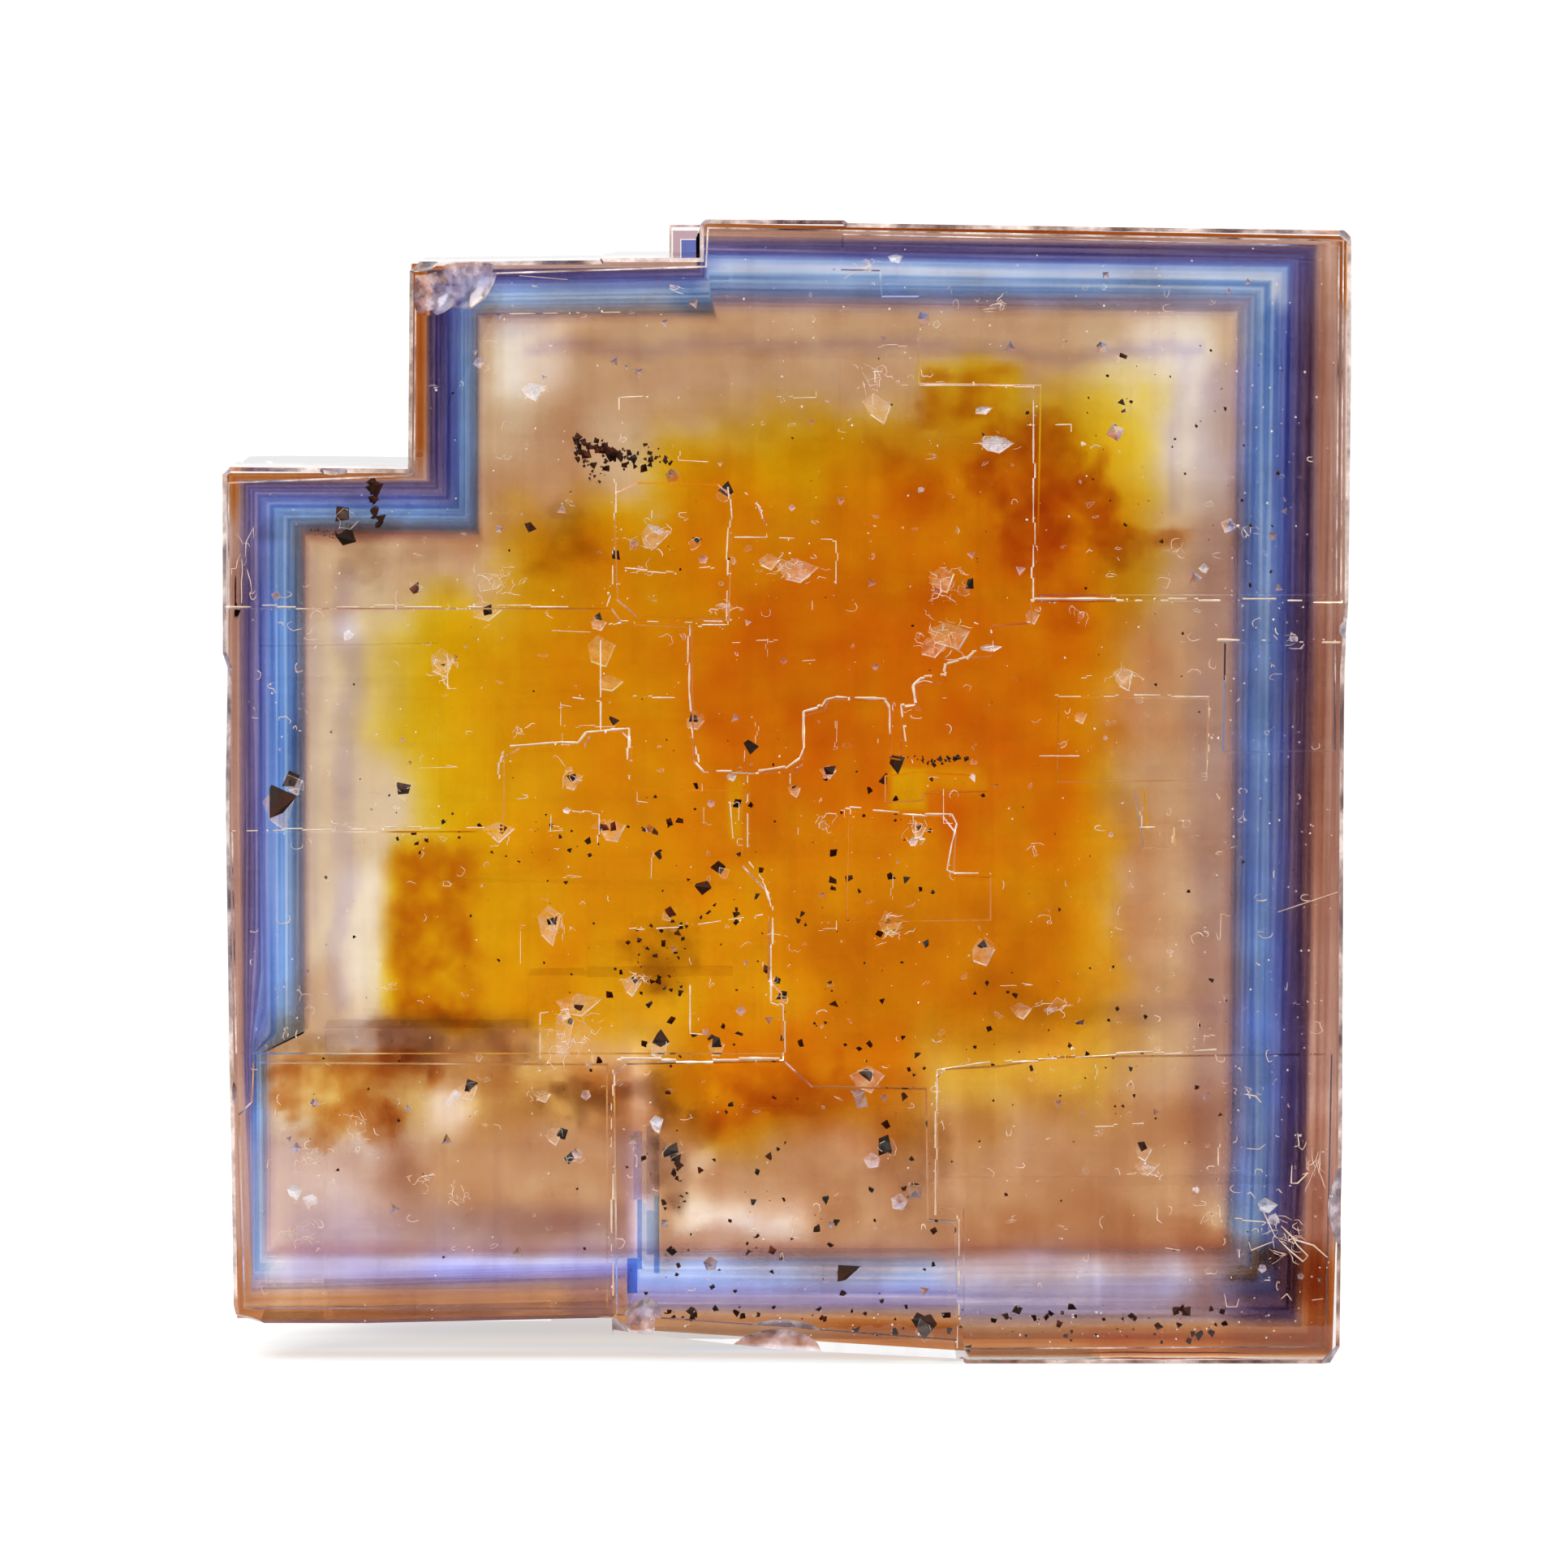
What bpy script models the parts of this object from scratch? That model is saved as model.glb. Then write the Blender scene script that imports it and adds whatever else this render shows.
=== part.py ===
"""A fluorite specimen: parallel cubes of fluorite grown into one another, as one closed solid.

The show face is the -Y side and stands upright. X runs to the right, Z up, and the origin is the
centre of the box of the whole crystal, at its foot. Sizes are in millimetres, and MM turns them into metres.
"""

import math

import bmesh
import bpy
from mathutils import Matrix, Vector

MM = 0.001

# Driving dimensions.
WIDTH = 61.1
HEIGHT = 62.1
DEPTH = 33.0

# The sides of the whole crystal.
LEFT, RIGHT = -WIDTH / 2, WIDTH / 2
SHOW_FACE, BACK_FACE = -DEPTH / 2, DEPTH / 2

# The cubes that step down to the left, and those along the foot.
MIDDLE_LEFT = -20.5
MIDDLE_TOP = HEIGHT - 2.2
SIDE_TOP = 48.6
MAIN_LEFT = -4.7
FOOT_BLOCK_TOP = 16.35
LEFT_FOOT = 2.2
BROKEN_FOOT_LEFT = -9.5
RIGHT_BLOCK_LEFT = 9.75

# How far the growth terraces rise from the faces that carry them, and how wide their worn edges are.
TERRACE_STEP = 0.12
SHOW_GROUND = SHOW_FACE + 5 * TERRACE_STEP
BODY_BACK = 6.0
TERRACE_EDGE = 0.09
BLOCK_EDGE = 0.22
ROOT = 2.0  # how deep a terrace or a block is let into the body that it grows from

CUBE_TO_OCTAHEDRON = math.acos(1 / math.sqrt(3))


def collection(name):
    made = bpy.data.collections.new(name)
    bpy.context.scene.collection.children.link(made)
    return made


def clear_scene():
    for obj in list(bpy.data.objects):
        bpy.data.objects.remove(obj)


def fluorite_material():
    material = bpy.data.materials.new("fluorite")
    material.use_nodes = True
    shader = material.node_tree.nodes["Principled BSDF"]
    shader.inputs["Base Color"].default_value = (0.72, 0.34, 0.05, 1.0)
    shader.inputs["Roughness"].default_value = 0.08
    shader.inputs["Metallic"].default_value = 0.0
    shader.inputs["Transmission Weight"].default_value = 0.6
    shader.inputs["IOR"].default_value = 1.434
    return material


def as_mesh(curve_object):
    """The outline's evaluated mesh with its caps welded on, in place of the curve."""
    graph = bpy.context.evaluated_depsgraph_get()
    mesh = bpy.data.meshes.new_from_object(curve_object.evaluated_get(graph))
    work = bmesh.new()
    work.from_mesh(mesh)
    bmesh.ops.remove_doubles(work, verts=work.verts, dist=0.001 * MM)
    bmesh.ops.dissolve_limit(
        work, angle_limit=math.radians(0.01), verts=work.verts, edges=work.edges
    )
    bmesh.ops.recalc_face_normals(work, faces=work.faces)
    work.to_mesh(mesh)
    work.free()
    name, place = curve_object.name, curve_object.matrix_world.copy()
    bpy.data.objects.remove(curve_object)
    solid = bpy.data.objects.new(name, mesh)
    solid.matrix_world = place
    return solid


def prism(name, corners, near, far, facing="front", edge=TERRACE_EDGE):
    """A flat outline made thick from near to far, with its edges worn to a chamfer.

    corners are (x, z) for an outline seen from the front, (y, z) from the side and (x, y) from above;
    near and far are the places of its two ends on the remaining axis.
    """
    curve = bpy.data.curves.new(name, "CURVE")
    curve.dimensions = "2D"
    curve.fill_mode = "BOTH"
    curve.extrude = (abs(far - near) / 2 - edge) * MM
    curve.bevel_depth = edge * MM
    curve.bevel_resolution = 0
    curve.offset = -edge * MM
    spline = curve.splines.new("POLY")
    spline.points.add(len(corners) - 1)
    for point, (across, up) in zip(spline.points, corners):
        point.co = (across * MM, up * MM, 0.0, 1.0)
    spline.use_cyclic_u = True
    flat = bpy.data.objects.new(name, curve)
    bpy.context.scene.collection.objects.link(flat)
    middle = (near + far) / 2 * MM
    turned = {
        "front": Matrix.Translation((0, middle, 0)) @ Matrix.Rotation(math.pi / 2, 4, "X"),
        "side": Matrix.Translation((middle, 0, 0))
        @ Matrix(((0, 0, 1, 0), (1, 0, 0, 0), (0, 1, 0, 0), (0, 0, 0, 1))),
        "top": Matrix.Translation((0, 0, middle)),
    }
    flat.matrix_world = turned[facing]
    bpy.context.view_layer.update()
    return as_mesh(flat)


def box(left, right, low, high):
    """The corners of an upright rectangle, for prism."""
    return [(left, low), (right, low), (right, high), (left, high)]


def combine(body, piece, operation, shelf):
    """Joins piece to body or cuts it out, by a Boolean modifier, and shelves the piece."""
    shelf.objects.link(piece)
    piece.hide_render = True
    piece.display_type = "WIRE"
    modifier = body.modifiers.new(piece.name, "BOOLEAN")
    modifier.operation = operation
    modifier.solver = "EXACT"
    modifier.object = piece


def body_outline():
    """The outline of the whole crystal from the show side, clockwise from its lower left corner."""
    lean = 0.52  # how much narrower the crystal is at its foot, on each side
    return [
        (LEFT + lean + 0.15, LEFT_FOOT + 0.3),
        (LEFT + lean, LEFT_FOOT + 1.0),
        (LEFT + 0.15, 28.95),
        (LEFT + 0.15, 31.9),
        (LEFT + 0.27, 37.8),
        (LEFT, 38.6),
        (LEFT, SIDE_TOP - 0.3),
        (LEFT + 0.4, SIDE_TOP + 0.1),
        (MIDDLE_LEFT, SIDE_TOP),
        (MIDDLE_LEFT + 0.1, MIDDLE_TOP - 0.6),
        (MIDDLE_LEFT + 0.6, MIDDLE_TOP - 0.1),
        (-10.1, MIDDLE_TOP),
        (-10.05, MIDDLE_TOP + 0.12),
        (MAIN_LEFT, MIDDLE_TOP + 0.12),
        (MAIN_LEFT, HEIGHT - 0.3),
        (MAIN_LEFT + 0.3, HEIGHT),
        (3.1, HEIGHT - 0.05),
        (3.3, HEIGHT - 0.2),
        (RIGHT - 0.35, HEIGHT - 0.6),
        (RIGHT, HEIGHT - 0.95),
        (RIGHT, 54.0),
        (RIGHT - 0.12, 41.4),
        (RIGHT - 0.35, 37.6),
        (RIGHT - 0.4, 12.3),
        (RIGHT - lean, 0.9),
        (RIGHT - lean - 0.5, 0.0),
        (RIGHT_BLOCK_LEFT, 0.0),
        (RIGHT_BLOCK_LEFT - 0.25, 0.14),
        (RIGHT_BLOCK_LEFT - 0.5, 0.0),
        (BROKEN_FOOT_LEFT + 0.6, 0.0),
        (BROKEN_FOOT_LEFT, 0.9),
        (BROKEN_FOOT_LEFT, LEFT_FOOT + 0.3),
        (-22.8, LEFT_FOOT),
        (LEFT + lean + 1.4, LEFT_FOOT),
    ]


def show_terraces():
    """The growth terraces of the show face, as outline and how many steps each rises.

    One long wandering edge parts the upper field from the rest: it runs from the left side to the right.
    """
    rim = 0.3
    upper_field = [
        (LEFT + rim, 41.0),
        (LEFT + rim, SIDE_TOP - 0.7),
        (MIDDLE_LEFT + rim, SIDE_TOP - 0.3),
        (MIDDLE_LEFT + rim + 0.1, MIDDLE_TOP - 0.8),
        (MAIN_LEFT + rim, MIDDLE_TOP - 0.3),
        (MAIN_LEFT + rim + 0.1, HEIGHT - 0.4),
        (RIGHT - rim - 0.1, HEIGHT - 1.1),
        (RIGHT - rim - 0.2, 41.4),
        (13.3, 41.4),
        (13.3, 40.2),
        (11.2, 40.1),
        (11.2, 38.45),
        (8.7, 38.2),
        (8.6, 37.0),
        (7.2, 36.9),
        (7.1, 35.9),
        (6.35, 35.7),
        (6.2, 32.8),
        (5.6, 32.9),
        (5.65, 36.0),
        (2.3, 36.1),
        (2.1, 35.5),
        (1.0, 35.2),
        (0.9, 32.6),
        (0.4, 32.1),
        (-4.6, 32.2),
        (-5.1, 32.8),
        (-5.2, 40.0),
        (-8.9, 40.15),
        (-9.5, 41.0),
    ]
    upper_right = [
        (13.5, 41.75),
        (13.7, 53.1),
        (7.1, 53.2),
        (7.1, 57.9),
        (5.1, 57.9),
        (5.0, 59.3),
        (2.9, 59.35),
        (3.0, HEIGHT - 0.75),
        (RIGHT - 0.65, HEIGHT - 1.4),
        (RIGHT - 0.75, 41.75),
    ]
    column = [
        (-9.2, 41.5),
        (-9.4, 47.3),
        (-8.1, 47.9),
        (-3.7, 47.8),
        (-3.0, 47.2),
        (-1.6, 46.9),
        (-1.1, 45.6),
        (-1.1, 44.9),
        (-2.95, 44.85),
        (-3.1, 40.4),
        (-8.1, 40.55),
    ]
    lower_field = [
        (LEFT + 0.65, FOOT_BLOCK_TOP + 0.5),
        (LEFT + 0.45, 28.95),
        (-15.4, 29.0),
        (-15.35, 33.0),
        (-14.5, 33.5),
        (-12.3, 33.65),
        (-11.0, 33.6),
        (-10.7, 34.15),
        (-8.9, 34.4),
        (-8.4, 33.9),
        (-8.4, 31.3),
        (-2.3, 31.2),
        (-2.35, 27.1),
        (-0.9, 25.6),
        (-0.95, 20.9),
        (-0.25, 20.2),
        (-0.1, FOOT_BLOCK_TOP + 0.5),
    ]
    left_foot_block = [
        (LEFT + 1.1, LEFT_FOOT + 0.8),
        (LEFT + 0.8, 13.6),
        (LEFT + 1.5, 14.3),
        (LEFT + 1.6, FOOT_BLOCK_TOP + 0.1),
        (BROKEN_FOOT_LEFT - 0.2, FOOT_BLOCK_TOP),
        (BROKEN_FOOT_LEFT - 0.2, LEFT_FOOT + 0.8),
    ]
    middle_foot_block = [
        (BROKEN_FOOT_LEFT + 0.25, 2.7),
        (BROKEN_FOOT_LEFT + 0.1, 15.8),
        (BROKEN_FOOT_LEFT + 0.8, FOOT_BLOCK_TOP + 0.05),
        (-0.1, FOOT_BLOCK_TOP + 0.2),
        (1.4, FOOT_BLOCK_TOP - 1.2),
        (7.6, FOOT_BLOCK_TOP - 1.3),
        (7.7, 7.9),
        (9.2, 7.8),
        (9.25, 1.3),
    ]
    right_foot_block = [
        (RIGHT_BLOCK_LEFT - 0.15, 0.8),
        (RIGHT_BLOCK_LEFT - 0.2, 8.4),
        (8.15, 8.5),
        (8.1, 15.6),
        (8.6, 16.1),
        (11.6, 16.25),
        (14.6, 16.75),
        (RIGHT - 0.95, 16.9),
        (RIGHT - 1.25, 0.9),
    ]
    return [
        ("upper_field", upper_field, 2),
        ("upper_right_field", upper_right, 4),
        ("column", column, 3),
        ("lower_field", lower_field, 1),
        ("left_foot_block", left_foot_block, 3),
        ("middle_foot_block", middle_foot_block, 5),
        ("right_foot_block", right_foot_block, 2),
        ("right_ledge", [(14.6, 31.6), (22.8, 31.7), (22.9, 36.2), (14.7, 36.3)], 1),
        ("edge_ledge", [(23.6, 33.2), (RIGHT - 0.8, 33.3), (RIGHT - 0.8, 39.3), (23.7, 39.2)], 1),
        ("low_stair", [(3.2, 24.0), (11.1, 24.1), (11.1, 26.5), (9.1, 26.6), (9.2, 28.9), (8.5, 29.8),
                       (6.5, 29.9), (3.3, 30.1)], 1),
        ("amber_tile", [(5.3, 30.5), (7.4, 30.6), (7.5, 31.0), (10.9, 31.1), (10.8, 32.0), (7.2, 32.2),
                        (5.3, 32.0)], 2),
        ("small_loop", [(19.3, 28.0), (21.1, 28.1), (21.0, 29.0), (19.6, 29.1), (19.4, 31.3), (18.8, 31.2)], 1),
    ]


def back_blocks():
    """The cubes that the body grows into behind the show side: outline, then how deep it reaches."""
    return [
        ("back_main_block", [(-2.9, 12.4), (8.0, 12.5), (8.1, 8.4), (29.3, 8.6), (29.6, 59.6), (-3.2, 60.3)],
         BACK_FACE),
        ("back_middle_block", [(-19.3, 25.2), (1.0, 25.0), (1.2, 58.6), (-19.1, 58.3)], BACK_FACE - 2.1),
        ("back_side_block", [(-28.9, 15.4), (-11.0, 15.2), (-11.1, 38.6), (-29.1, 38.3)], BODY_BACK + 2.4),
        ("back_foot_block", [(-14.4, 1.4), (17.4, 1.3), (17.2, 20.3), (-14.3, 20.0)], BACK_FACE - 1.3),
        ("back_left_foot", box(-25.6, -13.2, 0.0, 17.1), BACK_FACE - 0.8),
    ]


def side_cuts():
    """Shallow steps cut back from the sides and the tops, behind the outline that the show side has."""
    out = 3.0
    behind = BACK_FACE + 1.0
    return [
        ("right_step", "side", box(-2.4, behind, -1.0, HEIGHT + 1.0), RIGHT - 0.55, RIGHT + out),
        ("right_low_step", "side", box(2.6, behind, -1.0, 36.4), RIGHT - 1.5, RIGHT + out),
        ("left_step", "side", box(-6.2, behind, 1.0, SIDE_TOP + 1.0), LEFT - out, LEFT + 0.75),
        ("left_low_step", "side", box(-1.1, behind, 1.0, 26.0), LEFT - out, LEFT + 1.7),
        ("middle_side_step", "side", box(-4.0, behind, SIDE_TOP + 0.4, HEIGHT), LEFT, MIDDLE_LEFT + 0.6),
        ("main_top_step", "top", box(-8.0, RIGHT + 1.0, -9.0, behind), HEIGHT - 0.75, HEIGHT + out),
        ("main_top_far_step", "top", box(12.2, RIGHT + 1.0, -1.5, behind), HEIGHT - 1.2, HEIGHT + out),
        ("middle_top_step", "top", box(-21.5, -9.6, 0.0, behind), MIDDLE_TOP - 0.35, MIDDLE_TOP + 1.5),
        ("left_foot_step", "top", box(LEFT - 1.0, BROKEN_FOOT_LEFT - 0.1, 0.0, BODY_BACK + 4.4), -1.0,
         LEFT_FOOT + 0.9),
    ]


def broken_foot(name, height_at_middle, climb_left, climb_front):
    """A wedge lost from under the middle of the foot: the break climbs to the left and to the front."""
    wedge = prism(
        name,
        box(BROKEN_FOOT_LEFT - 0.02, RIGHT_BLOCK_LEFT - 0.12, SHOW_FACE - 3.0, BACK_FACE + 3.0),
        -6.0,
        0.0,
        facing="top",
        edge=0.01,
    )
    wedge.matrix_world = (
        Matrix.Translation((0, 0, height_at_middle * MM))
        @ Matrix.Rotation(-math.atan(climb_front), 4, "X")
        @ Matrix.Rotation(math.atan(climb_left), 4, "Y")
        @ wedge.matrix_world
    )
    return wedge


def scoop(name, place, size, turn=0.0):
    """A shallow shell-shaped chip: the ball that cuts it, as place, half sizes and turn about the Y axis."""
    mesh = bpy.data.meshes.new(name)
    work = bmesh.new()
    bmesh.ops.create_uvsphere(work, u_segments=22, v_segments=14, radius=1.0)
    bmesh.ops.scale(work, vec=Vector(size) * MM, verts=work.verts)
    bmesh.ops.rotate(work, cent=(0, 0, 0), matrix=Matrix.Rotation(turn, 3, "Y"), verts=work.verts)
    bmesh.ops.translate(work, vec=Vector(place) * MM, verts=work.verts)
    work.to_mesh(mesh)
    work.free()
    return bpy.data.objects.new(name, mesh)


def cleave(name, corner, signs, depth):
    """The block that an octahedral cleavage takes off a corner, depth below it along the cleavage normal."""
    reach = 12.0
    normal = Vector(signs).normalized()
    mesh = bpy.data.meshes.new(name)
    work = bmesh.new()
    bmesh.ops.create_cube(work, size=2 * reach * MM)
    work.to_mesh(mesh)
    work.free()
    block = bpy.data.objects.new(name, mesh)
    centre = Vector(corner) + normal * (reach - depth)
    turned = normal.to_track_quat("Z", "Y").to_matrix().to_4x4()
    block.matrix_world = Matrix.Translation(centre * MM) @ turned
    return block


def chips():
    """The chips along the edges: shell-shaped breaks, and corners lost along the octahedral cleavage."""
    front = SHOW_FACE
    return [
        broken_foot("broken_foot", -0.34, 0.05, 0.069),
        broken_foot("broken_foot_left", -0.4, 0.115, 0.071),
        scoop("middle_corner_shell", (-17.2, front - 1.7, 59.9), (2.6, 2.75, 4.1), 0.18),
        scoop("middle_corner_facet", (-19.1, front - 1.5, 58.2), (2.2, 2.5, 1.9), -0.5),
        scoop("middle_corner_nick", (-20.3, front + 0.2, 60.3), (1.6, 2.6, 1.0), 0.25),
        scoop("side_corner_nick", (-30.9, front + 0.4, 49.2), (0.9, 3.4, 1.0)),
        scoop("side_top_nick", (-24.6, front - 0.2, 49.3), (1.9, 1.3, 1.3), 0.1),
        scoop("right_edge_shell", (31.3, front - 1.2, 8.7), (2.3, 3.0, 4.1), 0.06),
        scoop("right_edge_sliver", (31.0, front - 0.9, 4.4), (1.6, 2.0, 2.6), -0.05),
        scoop("right_edge_nick", (31.5, front + 0.3, 39.9), (1.6, 2.2, 0.9)),
        scoop("foot_shell", (-0.9, front - 1.3, -0.1), (4.4, 2.6, 2.9), -0.22),
        scoop("foot_left_shell", (-8.1, front - 0.9, 1.7), (1.3, 2.0, 2.3), 0.4),
        scoop("foot_corner_shell", (-9.9, front + 0.3, 1.0), (1.5, 3.0, 1.6), 0.3),
        scoop("left_foot_nick", (-29.9, front + 0.2, 1.9), (1.9, 2.6, 0.8), 0.1),
        scoop("lower_left_shell", (-30.9, front - 1.0, 14.6), (2.0, 1.9, 2.7), 0.2),
        scoop("top_edge_nick", (-4.6, front + 0.1, 62.6), (1.0, 2.4, 0.6)),
        scoop("top_right_nick", (30.9, front + 0.1, 61.8), (1.2, 2.2, 1.1)),
        scoop("top_middle_nick", (5.3, front - 0.3, 62.5), (1.6, 1.3, 0.7), 0.05),
        cleave("foot_right_cleavage", (RIGHT - 0.65, front + 0.4, 0.0), (1, -1, -1), 0.72),
        cleave("back_top_cleavage", (RIGHT - 1.1, BACK_FACE, 59.6), (1, 1, 1), 4.4),
        cleave("back_middle_cleavage", (-19.3, BACK_FACE - 2.1, 58.3), (-1, 1, 1), 2.2),
        cleave("back_foot_cleavage", (RIGHT - 1.4, BACK_FACE, 8.6), (1, 1, -1), 2.7),
        cleave("back_side_cleavage", (LEFT + 0.75, BODY_BACK, SIDE_TOP), (-1, 1, 1), 1.3),
        scoop("back_shell", (2.0, BACK_FACE + 7.4, 61.4), (9.5, 8.6, 8.0), 0.3),
        scoop("back_edge_shell", (32.9, BACK_FACE + 3.6, 27.0), (5.4, 6.2, 11.5), 0.1),
    ]


def build_crystal():
    made = collection("fluorite_specimen")
    grown = collection("grown_on")
    lost = collection("broken_off")
    body = prism(
        "fluorite_crystal", body_outline(), SHOW_GROUND, BODY_BACK, edge=BLOCK_EDGE
    )
    made.objects.link(body)
    cube = prism(
        "small_top_cube",
        box(MAIN_LEFT - 1.65, MAIN_LEFT + 1.0, MIDDLE_TOP - 1.0, HEIGHT - 0.3),
        SHOW_GROUND + 0.35,
        SHOW_GROUND + 9.0,
        edge=0.12,
    )
    combine(body, cube, "UNION", grown)
    for name, outline, reach in back_blocks():
        block = prism(name, outline, BODY_BACK - ROOT, reach, edge=BLOCK_EDGE)
        combine(body, block, "UNION", grown)
    for name, outline, steps in show_terraces():
        front = SHOW_GROUND - steps * TERRACE_STEP
        combine(body, prism(name, outline, front, SHOW_GROUND + ROOT), "UNION", grown)
    for name, facing, outline, near, far in side_cuts():
        combine(body, prism(name, outline, near, far, facing, edge=0.05), "DIFFERENCE", lost)
    for chip in chips():
        combine(body, chip, "DIFFERENCE", lost)
    body.data.materials.append(fluorite_material())
    for layer in (grown, lost):
        layer.hide_render = True
    return body


clear_scene()
build_crystal()
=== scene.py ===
"""A fluorite specimen: clear cubes grown into one another, zoned pinkish brown, violet, blue and amber."""

import math
import random

import bmesh
import bpy
import numpy as np
from mathutils import Matrix, Vector, noise
from mathutils.bvhtree import BVHTree


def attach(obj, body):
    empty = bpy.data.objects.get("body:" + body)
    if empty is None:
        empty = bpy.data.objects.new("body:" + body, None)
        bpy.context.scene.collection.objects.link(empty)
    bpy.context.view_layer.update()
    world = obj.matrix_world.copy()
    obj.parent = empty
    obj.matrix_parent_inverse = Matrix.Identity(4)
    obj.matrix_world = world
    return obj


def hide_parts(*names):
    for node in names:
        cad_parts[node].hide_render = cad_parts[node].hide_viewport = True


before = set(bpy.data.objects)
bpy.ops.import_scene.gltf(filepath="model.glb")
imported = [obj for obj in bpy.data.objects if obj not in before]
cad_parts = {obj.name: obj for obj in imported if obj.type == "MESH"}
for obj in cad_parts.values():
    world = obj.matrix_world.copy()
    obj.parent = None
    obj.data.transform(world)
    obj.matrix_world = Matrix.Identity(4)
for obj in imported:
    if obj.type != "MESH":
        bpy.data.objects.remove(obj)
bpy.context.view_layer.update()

# ---------------------------------------------------------------------------------------------------------
# The crystal: one piece of clear fluorite, several cubes grown into one another, with stepped faces.
# Its steps are frosted along their edges, partly worn skin and partly a painted highlight, and its chips are
# pale shell-shaped breaks.
MM = 0.001
FLUORITE_IOR = 1.434
SHOW_FACE_Y = -16.5
LEFT_X, RIGHT_X = -30.55, 30.55
TALLEST_Z, MIDDLE_TOP_Z, SIDE_TOP_Z = 62.1, 59.9, 48.6
MIDDLE_LEFT_X, MAIN_LEFT_X = -20.5, -4.7


def linear(colour):
    """A colour given as 0 to 255 in screen values, as linear light."""
    return tuple(c / 255 / 12.92 if c <= 10.31 else ((c / 255 + 0.055) / 1.055) ** 2.4 for c in colour)


def new_material(name):
    material = bpy.data.materials.new(name)
    material.use_nodes = True
    nodes = material.node_tree.nodes
    nodes.clear()
    output = nodes.new("ShaderNodeOutputMaterial")
    return material, nodes, material.node_tree.links, output


def ramp(nodes, links, source, stops):
    """A colour ramp over source, with stops as (place, linear colour)."""
    made = nodes.new("ShaderNodeValToRGB")
    while len(made.color_ramp.elements) < len(stops):
        made.color_ramp.elements.new(0.5)
    for element, (place, colour) in zip(made.color_ramp.elements, stops):
        element.position = place
        element.color = (*colour, 1)
    links.new(source, made.inputs["Fac"])
    return made.outputs["Color"]


def grain_noise(nodes, links, place, scale, detail=4.0, roughness=0.55, stretch=None):
    """Noise over the mineral, with scale in features per metre and an optional stretch along each axis."""
    if stretch:
        mapping = nodes.new("ShaderNodeMapping")
        mapping.inputs["Scale"].default_value = stretch
        links.new(place, mapping.inputs["Vector"])
        place = mapping.outputs["Vector"]
    made = nodes.new("ShaderNodeTexNoise")
    made.inputs["Scale"].default_value = scale
    made.inputs["Detail"].default_value = detail
    made.inputs["Roughness"].default_value = roughness
    links.new(place, made.inputs["Vector"])
    return made.outputs["Fac"]


def multiply_colours(nodes, links, first, second):
    mix = nodes.new("ShaderNodeMix")
    mix.data_type = "RGBA"
    mix.blend_type = "MULTIPLY"
    mix.inputs["Factor"].default_value = 1.0
    links.new(first, mix.inputs["A"])
    links.new(second, mix.inputs["B"])
    return mix.outputs["Result"]


def product(nodes, links, first, second):
    made = nodes.new("ShaderNodeMath")
    made.operation = "MULTIPLY"
    links.new(first, made.inputs[0])
    links.new(second, made.inputs[1])
    return made.outputs["Value"]


def blend(nodes, links, share, first, second):
    """Two shaders in one: share is a socket or a number, 0 for the first and 1 for the second."""
    mix = nodes.new("ShaderNodeMixShader")
    if isinstance(share, float):
        mix.inputs["Fac"].default_value = share
    else:
        links.new(share, mix.inputs["Fac"])
    links.new(first, mix.inputs[1])
    links.new(second, mix.inputs[2])
    return mix.outputs["Shader"]


def clear_shader(nodes):
    """Smooth clear fluorite."""
    shader = nodes.new("ShaderNodeBsdfPrincipled")
    shader.inputs["Transmission Weight"].default_value = 1.0
    shader.inputs["IOR"].default_value = FLUORITE_IOR
    shader.inputs["Roughness"].default_value = 0.0
    return shader


def straight_through(nodes, tint=(1.0, 1.0, 1.0)):
    """Light that goes straight on, as through a worn skin or from one zone of the mineral to the next."""
    shader = nodes.new("ShaderNodeBsdfTransparent")
    shader.inputs["Color"].default_value = (*tint, 1)
    return shader.outputs["BSDF"]


LAMP_TINT = (0.98, 0.97, 0.96)


def let_lamps_through(nodes, links, shader, output):
    """Lets lamp light straight through, so that the crystal and its floor are lit as behind clear mineral."""
    rays = nodes.new("ShaderNodeLightPath")
    passed = straight_through(nodes, LAMP_TINT)
    whole = blend(nodes, links, rays.outputs["Is Shadow Ray"], shader, passed)
    links.new(whole, output.inputs["Surface"])


def faint_lines(nodes, links, place, stretch, dull):
    """Fine parallel lines of growth, a little duller than the clear mineral between them."""
    streaks = grain_noise(nodes, links, place, 900.0, 3.0, 0.6, stretch)
    return ramp(nodes, links, streaks, [(0.34, dull), (0.48, (1.0, 1.0, 1.0))])


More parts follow.
